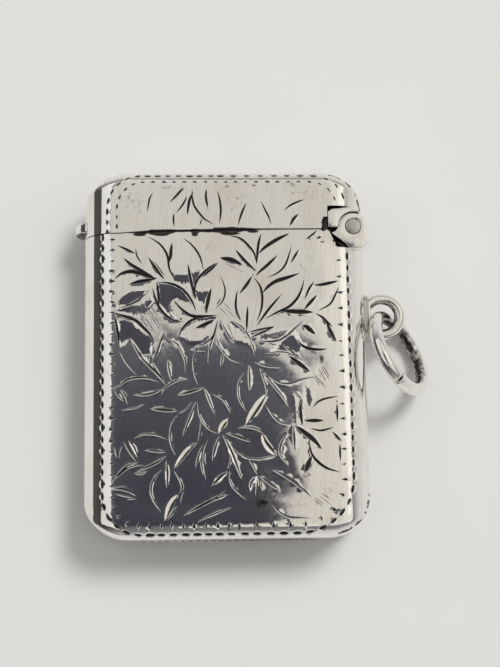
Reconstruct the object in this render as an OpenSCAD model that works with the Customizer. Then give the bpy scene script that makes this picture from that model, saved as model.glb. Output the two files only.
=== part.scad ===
// Pocket match safe: a rolled silver case with a sprung, side hinged lid, a serrated striker
// in its base and a split ring on a side loop. It lies on its back: +Z leaves the front panel,
// +Y points to the lid and +X to the hinge and the loop. The origin is the middle of the back.

/* [Case] */
// Width across the rolled sides
case_w = 34.6; // [32:0.1:42]
// Height from the base to the top of the lid
case_h = 45; // [42:0.5:58]
// Thickness from the back panel to the front panel
case_t = 9.5; // [9:0.1:11]
// Radius of the four corners, seen from the front
corner_r = 5.4; // [4.8:0.1:6]
// Radius of the roll along the two long sides
side_round = 4.2; // [3.4:0.1:4.4]
// Radius of the roll along the top and the base
end_round = 1.9; // [1.4:0.1:2.4]
// Thickness of the silver sheet
wall = 0.6; // [0.4:0.05:0.8]

/* [Lid] */
// Height of the lid
lid_h = 7.5; // [7:0.1:9]
// Gap between the lid and the body
lid_gap = 0.25; // [0.1:0.05:0.4]
// Reach of the thumb piece out of the side
thumb_reach = 1.2; // [0.8:0.1:1.8]
// Half width of the thumb piece across the side
thumb_half = 2.1; // [1.8:0.1:2.6]
// Thickness of the thumb piece along the side
thumb_t = 1.35; // [1:0.05:1.8]
// Height of the thumb piece above the lid's lower edge
thumb_rise = 0.25; // [0.1:0.05:0.6]

/* [Hinge] */
// Radius of the hinge pin
pin_r = 0.95; // [0.8:0.05:1]
// Running clearance between the pin and the lid's knuckle
pin_clear = 0.04; // [0.02:0.01:0.08]
// Outer radius of the round knuckles
barrel_r = 1.6; // [1.5:0.05:1.65]
// Distance of the pin axis in from the side of the case
hinge_inset = 1.5; // [1.3:0.05:1.8]
// Height of the pin axis above the lid's lower edge
hinge_rise = 0.4; // [0.3:0.05:0.6]
// Distance of the knuckle ends in from the front and the back
hinge_set = 0.5; // [0.3:0.05:0.8]
// Half length of the lid's middle knuckle
knuckle_half = 1.9; // [1.8:0.05:2.4]
// Gap between the knuckles, along the pin
knuckle_gap = 0.12; // [0.08:0.02:0.2]
// Gap between the lid's strap and the body's knuckles
strap_gap = 0.25; // [0.2:0.01:0.3]
// Distance of the body block's foot below the pin
block_drop = 2.75; // [2.65:0.05:3]
// Thickness of the foot that joins the body's two knuckles
foot_t = 0.4; // [0.3:0.05:0.45]
// Distance of the body block's heel from the pin, towards the panel
block_heel = 2.8; // [2.6:0.05:3]
// Distance of the body block's toe from the pin, towards the side
block_toe = 1.75; // [1.65:0.05:1.8]
// Reach of the lid's strap from the pin, towards the panel
strap_reach = 3.1; // [3:0.05:3.3]
// Height of the lid's strap above the pin
strap_top = 2.5; // [2.35:0.05:2.6]
// Width of the slot between the lid's panel and its strap
slot_w = 0.65; // [0.4:0.05:0.8]
// Gap between the body's panel and the hinge block
notch_gap = 0.15; // [0.1:0.05:0.3]
// Gap between the lid's panel and the top of its strap
notch_top = 0.25; // [0.2:0.05:0.4]
// Thickness of the plates that line the hinge notches
recess_t = 0.5; // [0.35:0.05:0.6]
// Depth of the lining plates below the front and the back
recess_set = 1.2; // [0.9:0.1:1.6]

/* [Spring] */
// Thickness of the lid spring
spring_t = 0.4; // [0.3:0.05:0.5]
// Width of the lid spring
spring_w = 3; // [2.4:0.1:3.4]
// Distance from the pin axis to the flats that the spring bears on
cam_r = 1.5; // [1.4:0.05:1.55]
// Gap between the spring and the flat
cam_gap = 0.05; // [0.03:0.01:0.1]
// Tail of the spring below the loop's shank
spring_tail = 1.9; // [1.4:0.1:2.4]
// Length of the spring's straight foot above the loop's shank
spring_foot = 2.4; // [1.8:0.1:3]
// Distance from the pin axis down to the spring's upper bend
spring_bend = 4; // [3.7:0.1:4.4]

/* [Mouth] */
// Thickness of the collar in the mouth
collar_t = 0.5; // [0.35:0.05:0.6]
// Gap between the collar and the walls
collar_gap = 0.12; // [0.1:0.01:0.2]
// Reach of the collar into the lid
collar_up = 1.2; // [0.8:0.1:1.4]
// Reach of the collar into the body
collar_down = 2.5; // [1.5:0.1:3.5]
// Gap between the end of the collar and the lid's hinge lining
collar_end_gap = 0.7; // [0.5:0.1:1]

/* [Striker] */
// Length of the striker in the base
striker_l = 21.6; // [18:0.2:22.4]
// Width of the striker
striker_w = 4.4; // [3.6:0.1:4.6]
// Distance between the striker's ridges
ridge_pitch = 0.9; // [0.7:0.05:1.2]
// Depth of the striker's ridges
ridge_depth = 0.3; // [0.2:0.05:0.35]
// Thickness of the flange behind the striker
flange_t = 0.4; // [0.3:0.05:0.6]
// Reach of the flange past its slot
flange_reach = 0.6; // [0.4:0.05:0.7]
// Fitting gap of the pieces that are soldered in
solder_gap = 0.02; // [0.01:0.01:0.04]

/* [Loop and ring] */
// Height of the loop above the middle of the case
loop_y = 4.8; // [2:0.1:5.2]
// Mean radius of the loop's eye
loop_r = 2.25; // [2.2:0.05:2.6]
// Radius of the loop's wire
loop_wire_r = 0.6; // [0.5:0.01:0.65]
// Distance of the eye's centre from the face of its seat
loop_stand = 1.85; // [1.8:0.05:2]
// Thickness of the loop's foot plate
loop_foot_t = 0.35; // [0.25:0.05:0.4]
// Radius of the shank that holds the loop
shank_r = 0.8; // [0.6:0.05:0.9]
// Length of the seat along the side
seat_l = 5.4; // [5.2:0.1:6]
// Width of the seat across the side
seat_w = 2.8; // [2.4:0.1:3.4]
// Height of the seat out of the side
seat_h = 0.45; // [0.4:0.05:0.8]
// Radius of the washer inside the wall
washer_r = 1.45; // [1.2:0.05:1.5]
// Thickness of the washer
washer_t = 0.4; // [0.3:0.05:0.6]
// Mean radius of the split ring
ring_r = 5; // [4.6:0.1:5.2]
// Radius of the split ring's wire
ring_wire_r = 0.83; // [0.7:0.01:0.88]
// Width of the split in the ring
ring_split = 0.6; // [0.3:0.05:0.8]
// Direction of the ring's centre from the loop, in degrees
ring_heading = -65; // [-72:1:-55]
// Lean of the ring's plane up from the plane of the case, in degrees
ring_lean = 57; // [54:1:60]
// Gap between the ring and the surface that the case lies on
ring_floor_gap = 0.1; // [0.05:0.05:0.3]
// Place of the split round the ring, in degrees from the loop
split_turn = 126; // [110:1:140]

/* [Hidden] */
$fn = 96;
silver = "silver";
steel = "slategray";
// A length that reaches past the whole case
reach = case_w + case_h + case_t;
mid_z = case_t / 2;
side_x = case_w / 2;
end_y = case_h / 2;
part_y = end_y - lid_h;
body_top = part_y - lid_gap;
// The sides' roll stands this little outside the slab that it is cut with
roll_ease = 0.01;

// Hinge axis and the edges of the notches round it
hinge_x = side_x - hinge_inset;
hinge_y = part_y + hinge_rise;
hinge_l = case_t - 2 * hinge_set;
body_notch_x = hinge_x - block_heel - notch_gap;
body_notch_y = hinge_y - block_drop;
lid_notch_x = hinge_x - strap_reach - slot_w;
lid_notch_y = hinge_y + strap_top + notch_top;
lid_lining_x = hinge_x - strap_reach - recess_t;
strap_hollow_r = barrel_r + strap_gap;

// Corners of the body's knuckle and of the lid's strap, measured from the pin
heel_low = 0.53 * barrel_r;
heel_high = 0.35 * barrel_r;
waist_x = 0.62 * barrel_r;
waist_y = 0.8 * block_drop;
foot_heel = 0.38 * barrel_r;
toe_y = 0.7 * block_drop;
shoulder_x = 0.9 * barrel_r;
shoulder_y = 2 * knuckle_gap;
strap_side = 0.48 * strap_top;
strap_shoulder = 0.74 * strap_reach;
roll_end = 0.06 * strap_top;

// Spring: its foot lies inside the side wall, where the wall's roll is met by the spring's edge
inner_round = side_round - wall;
spring_over = max(0, spring_w / 2 - (mid_z - side_round));
wall_drop = inner_round - sqrt(inner_round * inner_round - spring_over * spring_over);
spring_foot_x = side_x - wall - wall_drop - solder_gap - spring_t / 2;
spring_flat_x = hinge_x - cam_r - cam_gap - spring_t / 2;
spring_top_y = part_y + lid_gap - strap_gap;

// Loop and ring
seat_x = side_x + seat_h;
loop_x = seat_x + loop_stand;
foot_l = 2 * (sqrt(loop_r * loop_r - loop_stand * loop_stand) + loop_wire_r);
ring_z = ring_r * sin(ring_lean) + ring_wire_r + ring_floor_gap;
ring_shift = (ring_z - mid_z) / tan(ring_lean);
split_half = ring_split / ring_r * 90 / PI;

function unit(v) = v / norm(v);
function left(v) = [-v[1], v[0]];

// Direction and length of a strip's edge from its centreline, at point i
function mitre(p, i) =
    let (
        last = len(p) - 1,
        before = unit(p[max(i, 1)] - p[max(i, 1) - 1]),
        after = unit(p[min(i, last - 1) + 1] - p[min(i, last - 1)]),
        middle = unit(left(before) + left(after))
    )
    middle / (middle * left(before));

// Bent strip of even thickness along a centreline
module strip(p, t) {
    over = [for (i = [0 : len(p) - 1]) p[i] + mitre(p, i) * t / 2];
    under = [for (i = [len(p) - 1 : -1 : 0]) p[i] - mitre(p, i) * t / 2];
    polygon(concat(over, under));
}

// Quarter of a disc, in the first quadrant
module quarter_disc(r) {
    intersection() {
        circle(r);
        square(r);
    }
}

// Rectangle with round corners, centred, pieced edge to edge
module round_rect(w, h, r) {
    square([w, h - 2 * r], center = true);
    for (side = [0, 1]) {
        mirror([0, side]) {
            translate([r - w / 2, h / 2 - r]) square([w - 2 * r, r]);
            translate([w / 2 - r, h / 2 - r]) quarter_disc(r);
            mirror([1, 0]) translate([w / 2 - r, h / 2 - r]) quarter_disc(r);
        }
    }
}

// Half outline of a round corner block: a straight core and a rolled outer edge
module puck_outline(r, t, e) {
    translate([0, -t / 2]) square([r - e, t]);
    translate([r - e, e - t / 2]) square([e, t - 2 * e]);
    for (side = [0, 1]) {
        mirror([0, side]) translate([r - e, t / 2 - e]) quarter_disc(e);
    }
}

// Slab with round corners whose ends and corners are rolled over
module end_rolled_slab(w, h, t, r, e) {
    rotate([90, 0, 90]) linear_extrude(w - 2 * r, center = true) round_rect(h, t, e);
    for (side = [0, 1]) {
        mirror([side, 0, 0]) {
            translate([w / 2 - r, r - h / 2, -t / 2]) cube([r, h - 2 * r, t]);
            for (end = [0, 1]) {
                mirror([0, end, 0]) translate([w / 2 - r, h / 2 - r, 0])
                    rotate_extrude(angle = 90) puck_outline(r, t, e);
            }
        }
    }
}

// The case's outer form, or the same form drawn in by an inset
module pillow(inset) {
    w = case_w - 2 * inset;
    h = case_h - 2 * inset;
    t = case_t - 2 * inset;
    translate([0, 0, mid_z]) intersection() {
        end_rolled_slab(w, h, t, corner_r - inset, end_round - inset);
        rotate([90, 0, 0]) linear_extrude(h + 2 * roll_ease, center = true)
            round_rect(w + 2 * roll_ease, t + 2 * roll_ease, side_round - inset);
    }
}

// Sheet of the closed case, between two heights and on one side of its seam
module shell(y_low, y_high, front) {
    intersection() {
        difference() {
            pillow(0);
            pillow(wall);
        }
        translate([-reach, y_low, front ? mid_z : mid_z - reach])
            cube([2 * reach, y_high - y_low, reach]);
    }
}

// Block over the whole thickness, from a corner outwards to the hinge side
module notch(x_low, y_low, y_high) {
    translate([x_low, y_low, -reach]) cube([reach, y_high - y_low, 2 * reach]);
}

// Slot through the base for the striker
module striker_slot() {
    translate([-striker_l / 2, -reach, mid_z - striker_w / 2])
        cube([striker_l, reach - end_y / 2, striker_w]);
}

// Hole or rod along X at the height of the loop
module cross_rod(r, x_low, x_high) {
    translate([x_low, loop_y, mid_z]) rotate([0, 90, 0]) cylinder(r = r, h = x_high - x_low);
}

module body_half(front) {
    difference() {
        shell(-reach, body_top, front);
        notch(body_notch_x, body_notch_y, reach);
        striker_slot();
        cross_rod(shank_r + solder_gap, 0, reach);
    }
}

module body_front_shell() {
    color(silver) body_half(true);
}

module body_back_shell() {
    color(silver) body_half(false);
}

// Serrated strip that fills the slot in the base, on a flange inside the case
module striker_plate() {
    l = striker_l - 2 * solder_gap;
    w = striker_w - 2 * solder_gap;
    ridges = floor(l / ridge_pitch);
    pitch = l / ridges;
    inside_y = wall + solder_gap - end_y;
    teeth = [for (i = [0 : ridges - 1]) each [
        [i * pitch - l / 2, -end_y],
        [(i + 0.5) * pitch - l / 2, ridge_depth - end_y]
    ]];
    color(silver) {
        translate([0, 0, mid_z - w / 2]) linear_extrude(w)
            polygon(concat(teeth, [[l / 2, -end_y], [l / 2, inside_y], [-l / 2, inside_y]]));
        intersection() {
            translate([-l / 2 - flange_reach, inside_y, mid_z - w / 2 - flange_reach])
                cube([l + 2 * flange_reach, flange_t, w + 2 * flange_reach]);
            pillow(wall + solder_gap);
        }
    }
}

// Collar inside the mouth, which the lid closes over
module mouth_collar() {
    color(silver) intersection() {
        difference() {
            pillow(wall + collar_gap);
            pillow(wall + collar_gap + collar_t);
        }
        translate([-reach, part_y - collar_down, -reach])
            cube([reach + lid_lining_x - collar_end_gap, collar_down + collar_up, 2 * reach]);
    }
}

// Two plates that line a hinge notch inside the case: one beside it, one across its end
module lining(x_low, y_low, y_high, cross_y) {
    intersection() {
        translate([0, 0, recess_set]) linear_extrude(case_t - 2 * recess_set) {
            translate([x_low, y_low]) square([recess_t, y_high - y_low]);
            translate([x_low + recess_t, cross_y]) square([reach, recess_t]);
        }
        pillow(wall + solder_gap);
    }
}

module body_hinge_recess() {
    slot_x = spring_t + 4 * cam_gap;
    slot_z = spring_w + 4 * collar_gap;
    low_y = body_notch_y - recess_t;
    color(silver) difference() {
        lining(body_notch_x - recess_t, low_y, body_top, low_y);
        translate([spring_flat_x - slot_x / 2, low_y - recess_t, mid_z - slot_z / 2])
            cube([slot_x, 3 * recess_t, slot_z]);
    }
}

module lid_hinge_recess() {
    color(silver) lining(lid_lining_x, part_y, lid_notch_y + recess_t, lid_notch_y);
}

// Outline of the body's knuckle about the pin: a round eye on a wedge shaped block
module block_outline() {
    circle(barrel_r);
    polygon([
        [-block_heel, -heel_low],
        [-waist_x, -waist_y],
        [-foot_heel, -block_drop],
        [barrel_r - foot_heel, -block_drop],
        [block_toe, -toe_y],
        [barrel_r, -strap_gap],
        [0, shoulder_y],
        [-shoulder_x, shoulder_y],
        [-(block_heel + barrel_r) / 2, -heel_high]
    ]);
}

module body_hinge_block() {
    end_l = hinge_l / 2 - knuckle_half - knuckle_gap;
    color(silver) difference() {
        translate([hinge_x, hinge_y, 0]) {
            for (z = [hinge_set, mid_z + knuckle_half + knuckle_gap]) {
                translate([0, 0, z]) linear_extrude(end_l) block_outline();
            }
            translate([-foot_heel, -block_drop, hinge_set]) cube([barrel_r, foot_t, hinge_l]);
        }
        translate([hinge_x, hinge_y, 0]) cylinder(r = pin_r + solder_gap, h = case_t);
    }
}

// Outline of the lid's strap about the pin, closed through the pin's centre
module strap_outline() {
    polygon([
        [-strap_reach, part_y + lid_gap - hinge_y],
        [-strap_reach, strap_side],
        [-strap_shoulder, strap_top - barrel_r / 2],
        [-strap_gap, strap_top - roll_end],
        [barrel_r / 2, strap_top],
        [barrel_r / 2, strap_hollow_r],
        [0, 0]
    ]);
}

module lid_hinge_block() {
    color(silver) translate([hinge_x, hinge_y, 0]) difference() {
        union() {
            translate([0, 0, hinge_set]) linear_extrude(hinge_l) difference() {
                strap_outline();
                circle(strap_hollow_r);
            }
            translate([0, 0, mid_z - knuckle_half]) linear_extrude(2 * knuckle_half) {
                strap_outline();
                circle(barrel_r);
                translate([-cam_r, -cam_r]) square(cam_r);
            }
        }
        cylinder(r = pin_r + pin_clear, h = case_t);
    }
}

module hinge_pin() {
    color(silver) translate([hinge_x, hinge_y, hinge_set]) cylinder(r = pin_r, h = hinge_l);
}

// Bent steel strip that holds the lid shut and open: it bears on the flats of the lid's knuckle
module lid_spring() {
    line = [
        [spring_foot_x, loop_y - spring_tail],
        [spring_foot_x, loop_y + spring_foot],
        [spring_flat_x, hinge_y - spring_bend],
        [spring_flat_x, spring_top_y]
    ];
    color(steel) difference() {
        translate([0, 0, mid_z - spring_w / 2]) linear_extrude(spring_w) strip(line, spring_t);
        cross_rod(shank_r + solder_gap, 0, reach);
    }
}

// Raised seat under the loop, fitted to the rolled side
module loop_seat() {
    color(silver) difference() {
        translate([side_x - seat_w / 2, loop_y, mid_z]) rotate([0, 90, 0])
            linear_extrude(seat_h + seat_w / 2) round_rect(seat_w, seat_l, 0.4 * seat_w);
        pillow(0);
        cross_rod(shank_r + solder_gap, 0, reach);
    }
}

// Eye of round wire on a foot plate, with a shank that goes through the wall
module suspension_loop() {
    color(silver) {
        intersection() {
            translate([loop_x, loop_y, mid_z]) rotate_extrude() translate([loop_r, 0]) circle(loop_wire_r);
            translate([seat_x + loop_foot_t / 2, -reach, -reach]) cube(2 * reach);
        }
        translate([seat_x, loop_y, mid_z]) rotate([0, 90, 0]) linear_extrude(loop_foot_t)
            square([2 * loop_wire_r, foot_l], center = true);
        cross_rod(shank_r, spring_foot_x - spring_t / 2 - washer_t, seat_x);
    }
}

module loop_washer() {
    color(silver) difference() {
        cross_rod(washer_r, spring_foot_x - spring_t / 2 - washer_t, spring_foot_x - spring_t / 2);
        cross_rod(shank_r + solder_gap, 0, reach);
    }
}

module lid_half(front) {
    difference() {
        shell(part_y, reach, front);
        notch(lid_notch_x, 0, lid_notch_y);
    }
}

module lid_front_shell() {
    color(silver) lid_half(true);
}

module lid_back_shell() {
    color(silver) lid_half(false);
}

// Half round nub on the lid's free side
module thumb_piece() {
    r = (thumb_half * thumb_half + thumb_reach * thumb_reach) / (2 * thumb_reach);
    color(silver) difference() {
        translate([r - side_x - thumb_reach, part_y + thumb_rise, mid_z]) rotate([-90, 0, 0])
            cylinder(r = r, h = thumb_t);
        pillow(0);
        translate([r - side_x, 0, 0]) cube(reach);
    }
}

// Split ring of round wire, whose wire goes through the middle of the loop
module jump_ring() {
    along = [cos(ring_heading), sin(ring_heading)];
    place = ring_r * along - ring_shift * left(along);
    centre = [loop_x + place[0], loop_y + place[1], ring_z];
    color(silver) translate(centre) rotate([180 - ring_lean, 0, ring_heading])
        rotate([0, 0, 180 - split_turn + split_half])
        rotate_extrude(angle = 360 - 2 * split_half) translate([ring_r, 0]) circle(ring_wire_r);
}

body_front_shell();
body_back_shell();
striker_plate();
mouth_collar();
body_hinge_recess();
body_hinge_block();
hinge_pin();
lid_spring();
loop_seat();
suspension_loop();
loop_washer();
lid_front_shell();
lid_back_shell();
lid_hinge_recess();
lid_hinge_block();
thumb_piece();
jump_ring();
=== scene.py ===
"""Dressed model of a pocket match safe in engraved silver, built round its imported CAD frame.

Lengths are in millimetres until a mesh is made. The case lies on its back: +Z leaves the front
panel, +Y points to the lid and +X to the hinge and the ring.
"""

import logging
import math
import random
from dataclasses import dataclass, field, replace
from enum import Enum

import bmesh
import bpy
import numpy as np
from mathutils import Matrix, Vector
from mathutils.geometry import delaunay_2d_cdt


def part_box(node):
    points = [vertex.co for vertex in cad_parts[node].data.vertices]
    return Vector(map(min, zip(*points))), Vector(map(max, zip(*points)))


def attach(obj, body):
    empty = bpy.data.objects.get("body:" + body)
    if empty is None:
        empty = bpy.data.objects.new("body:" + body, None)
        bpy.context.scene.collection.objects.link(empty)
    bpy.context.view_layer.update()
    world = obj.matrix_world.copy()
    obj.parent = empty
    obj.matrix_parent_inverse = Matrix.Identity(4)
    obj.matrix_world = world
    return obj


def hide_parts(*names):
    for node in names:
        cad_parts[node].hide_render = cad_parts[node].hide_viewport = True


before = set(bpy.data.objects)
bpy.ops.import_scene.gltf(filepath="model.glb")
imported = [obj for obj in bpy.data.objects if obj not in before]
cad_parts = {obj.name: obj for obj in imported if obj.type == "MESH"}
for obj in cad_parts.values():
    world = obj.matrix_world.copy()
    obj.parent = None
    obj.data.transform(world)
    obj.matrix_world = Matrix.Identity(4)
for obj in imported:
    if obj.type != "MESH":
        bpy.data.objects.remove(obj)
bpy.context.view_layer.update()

LOG = logging.getLogger("match_safe")
MM = 0.001
IMAGE_SIZE = (500, 667)
FILL_INSIDE = 1
CORNER_LIMIT = 0.5

Point2 = tuple[float, float]
Point3 = tuple[float, float, float]
Colour = tuple[float, float, float, float]
Values = np.ndarray | float
Socket = bpy.types.NodeSocket


class Side(Enum):
    """Face of the case that a shell belongs to, by the sign of its outward Z."""

    FRONT = 1
    BACK = -1


class Body(Enum):
    """Moving group that carries a piece, named as in the frame."""

    CASE = "case"
    LID = "lid"
    RING = "ring"


class Stain(Enum):
    """Kind of a patch, named for the mesh attribute that holds it."""

    # The rust kind also holds painted shade on the insides of the eye and the ring and on the nub's ends;
    # the soot kind holds the grooves' patina plus painted shade on groove walls away from the lamps, along
    # the mouth gap and in the notch.
    RUST_AND_SHADE = "spot"
    SOOT_AND_SHADE = "patina_and_shade"


def grey(red: float, green: float, blue: float) -> Colour:
    """Colour with full alpha."""
    return (red, green, blue, 1.0)


@dataclass(frozen=True)
class Noise:
    """Pattern of a noise: waves in a millimetre, finer layers, and the range of its values that counts."""

    scale: float
    detail: float
    low: float
    high: float


class Graph:
    """Nodes of a material or of the room, with short calls that add and join them."""

    MIX_SHARE = 0
    MIX_UNDER = 6
    MIX_OVER = 7
    MIX_RESULT = 2

    def __init__(self, owner: bpy.types.ID, final: str = "Principled BSDF") -> None:
        """Switch the nodes on.

        Args:
            owner: The new material or world.
            final: Name of its node that gives the look.
        """
        owner.use_nodes = True
        self.owner = owner
        self.tree = owner.node_tree
        self.look = self.tree.nodes[final].inputs

    def add(self, kind: str, **values: object) -> bpy.types.Node:
        """Add a node and set its properties or inputs.

        Args:
            kind: Blender's type name of the node.
            values: Property or input values, with _ for a space in an input's name.

        Returns:
            The new node.
        """
        node = self.tree.nodes.new(kind)
        for key, value in values.items():
            if hasattr(node, key):
                setattr(node, key, value)
            else:
                node.inputs[key.replace("_", " ")].default_value = value
        return node

    def join(self, source: Socket, target: Socket) -> None:
        """Link two sockets."""
        self.tree.links.new(source, target)

    def place(self, turn: float = 0.0, stretch: Point3 = (1.0, 1.0, 1.0)) -> Socket:
        """Coordinates on the piece in millimetres.

        Args:
            turn: Angle about Z in degrees.
            stretch: Scale along each axis after the turn.

        Returns:
            The vector socket.
        """
        coords = self.add("ShaderNodeTexCoord")
        turned = self.add("ShaderNodeMapping", Rotation=(0.0, 0.0, math.radians(turn)), Scale=(1 / MM,) * 3)
        scaled = self.add("ShaderNodeVectorMath", operation="MULTIPLY")
        scaled.inputs[1].default_value = stretch
        self.join(coords.outputs["Object"], turned.inputs["Vector"])
        self.join(turned.outputs["Vector"], scaled.inputs[0])
        return scaled.outputs["Vector"]

    def pattern(self, where: Socket, noise: Noise, start: float, end: float) -> Socket:
        """Noise over a set of coordinates, carried to a range of values.

        Args:
            where: Coordinates in millimetres.
            noise: The pattern.
            start: Value at the noise's low end and under it.
            end: Value at its high end and over it.

        Returns:
            The socket with the value.
        """
        node = self.add("ShaderNodeTexNoise", Scale=noise.scale, Detail=noise.detail)
        self.join(where, node.inputs["Vector"])
        return self.remap(node.outputs["Fac"], noise.low, noise.high, start, end)

    def remap(self, value: Socket, low: float, high: float, start: float, end: float) -> Socket:
        """Value carried from one range to another, held at its ends.

        Args:
            value: Socket to carry over.
            low: Value that becomes start.
            high: Value that becomes end.
            start: First value of the new range.
            end: Last value of the new range.

        Returns:
            The socket with the new value.
        """
        node = self.add("ShaderNodeMapRange", From_Min=low, From_Max=high, To_Min=start, To_Max=end)
        self.join(value, node.inputs["Value"])
        return node.outputs["Result"]

    def attribute(self, name: str) -> Socket:
        """Value of a mesh attribute, 0 where a mesh has none."""
        return self.add("ShaderNodeAttribute", attribute_name=name).outputs["Fac"]

    def sum(self, first: Socket, second: Socket) -> Socket:
        """Sum of two values.

        Args:
            first: First value.
            second: Second value.

        Returns:
            The socket with their sum.
        """
        node = self.add("ShaderNodeMath", operation="ADD")
        self.join(first, node.inputs[0])
        self.join(second, node.inputs[1])
        return node.outputs[0]

    def mix(self, share: Socket, under: Socket | Colour, over: Colour) -> Socket:
        """Colour laid over another.

        Args:
            share: How much of the upper colour shows.
            under: Lower colour, or the socket that gives it.
            over: Upper colour.

        Returns:
            The colour socket.
        """
        node = self.add("ShaderNodeMix", data_type="RGBA")
        self.join(share, node.inputs[self.MIX_SHARE])
        if isinstance(under, tuple):
            node.inputs[self.MIX_UNDER].default_value = under
        else:
            self.join(under, node.inputs[self.MIX_UNDER])
        node.inputs[self.MIX_OVER].default_value = over
        return node.outputs[self.MIX_RESULT]

    def bump(self, height: Socket, depth: float) -> None:
        """Roughen the shader's normal.

        Args:
            height: Relief from 0 to 1.
            depth: Depth of that relief in millimetres.
        """
        node = self.add("ShaderNodeBump", Strength=1.0, Distance=depth * MM)
        self.join(height, node.inputs["Height"])
        self.join(node.outputs["Normal"], self.look["Normal"])


@dataclass(frozen=True)
class MetalFinish:
    """Worn metal: clean colour, tarnish in clouds and hollows, painted shade laid through the same dark
    attributes, fine scratches.
    """

    CLOUDS = Noise(0.16, 5.0, 0.45, 0.75)
    STREAKS = Noise(1.0, 4.0, 0.45, 0.75)
    STREAK_TURN = 8.0
    STREAK_STRETCH = (5.0, 0.35, 1.0)
    SOOT_AND_SHADE_RANGE = (0.34, 0.52)
    SOOT_AND_SHADE_COVER = 0.97
    SOOT_AND_SHADE_DULL = 0.35
    MOTTLE = Noise(1.6, 4.0, 0.3, 0.7)
    MOTTLE_SWING = 0.25
    RUST_AND_SHADE_RANGE = (0.3, 0.85)
    RUST_AND_SHADE_COVER = 0.95
    RUST_AND_SHADE_DULL = 0.1
    POLISH = Noise(2.2, 6.0, 0.35, 0.7)
    PITS = Noise(2.2, 6.0, 0.3, 0.7)
    PIT_DEPTH = 0.05
    SCRATCHES = Noise(1.0, 3.0, 0.56, 0.7)
    SCRATCH_STRETCH = (0.35, 9.0, 9.0)

    name: str
    colour: Colour
    tarnish: Colour
    soot_and_shade: Colour = grey(0.02, 0.018, 0.016)
    rust_and_shade: Colour = grey(0.014, 0.008, 0.007)
    cloud: float = 0.3
    smooth: float = 0.035
    rough: float = 0.07
    scratch: float = 0.00012
    scratch_turns: tuple[float, ...] = (38.0, -52.0)
    streak: float = 0.3
    worked: bool = True

    def material(self) -> bpy.types.Material:
        """Build the node material of this finish.

        Returns:
            The material.
        """
        graph = Graph(bpy.data.materials.new(self.name))
        graph.look["Metallic"].default_value = 1.0
        plain = graph.place()
        film = graph.pattern(plain, self.CLOUDS, 0.0, self.cloud)
        colour = graph.mix(film, self.colour, self.tarnish)
        brushed = graph.place(self.STREAK_TURN, self.STREAK_STRETCH)
        colour = graph.mix(graph.pattern(brushed, self.STREAKS, 0.0, self.streak), colour, self.tarnish)
        shown = 1.0 if self.worked else 0.0
        # Darkest where the soot attribute lies: patina in the grooves, and painted shade on their walls
        # away from the lamps, along the mouth and in the notch.
        soot_and_shade = graph.attribute(Stain.SOOT_AND_SHADE.value)
        core = graph.remap(soot_and_shade, *self.SOOT_AND_SHADE_RANGE, 0.0, self.SOOT_AND_SHADE_COVER * shown)
        colour = graph.mix(core, colour, self.soot_and_shade)
        uneven = graph.pattern(plain, self.MOTTLE, -self.MOTTLE_SWING, self.MOTTLE_SWING)
        # Dark where the rust attribute lies: tarnish spots, and painted shade inside the eye and the ring
        # and on the nub's ends.
        stain_and_shade = graph.sum(graph.attribute(Stain.RUST_AND_SHADE.value), uneven)
        spot = graph.remap(stain_and_shade, *self.RUST_AND_SHADE_RANGE, 0.0, self.RUST_AND_SHADE_COVER * shown)
        colour = graph.mix(spot, colour, self.rust_and_shade)
        graph.join(colour, graph.look["Base Color"])
        polish = graph.pattern(plain, self.POLISH, self.smooth, self.rough)
        dull = graph.sum(graph.remap(core, 0.0, 1.0, 0.0, self.SOOT_AND_SHADE_DULL),
                         graph.remap(spot, 0.0, 1.0, 0.0, self.RUST_AND_SHADE_DULL))
        graph.join(graph.sum(polish, dull), graph.look["Roughness"])
        relief = graph.pattern(plain, self.PITS, 0.0, self.PIT_DEPTH)
        for turn in self.scratch_turns:
            lines = graph.pattern(graph.place(turn, self.SCRATCH_STRETCH), self.SCRATCHES, 0.0, 1.0)
            relief = graph.sum(relief, lines)
        graph.bump(relief, self.scratch)
        return graph.owner


@dataclass(frozen=True)
class FloorFinish:
    """Pale matt floor with a hardly visible mottle."""

    name: str = "pale_floor"
    colour: Colour = grey(0.80, 0.795, 0.78)
    shade: Colour = grey(0.787, 0.782, 0.767)
    rough: float = 0.85
    sheen: float = 0.2
    mottle: Noise = Noise(0.05, 3.0, 0.4, 0.6)

    def material(self) -> bpy.types.Material:
        """Build the node material of the floor.

        Returns:
            The material.
        """
        graph = Graph(bpy.data.materials.new(self.name))
        graph.look["Roughness"].default_value = self.rough
        graph.look["Specular IOR Level"].default_value = self.sheen
        share = graph.pattern(graph.place(), self.mottle, 0.0, 1.0)
        graph.join(graph.mix(share, self.colour, self.shade), graph.look["Base Color"])
        return graph.owner


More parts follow.
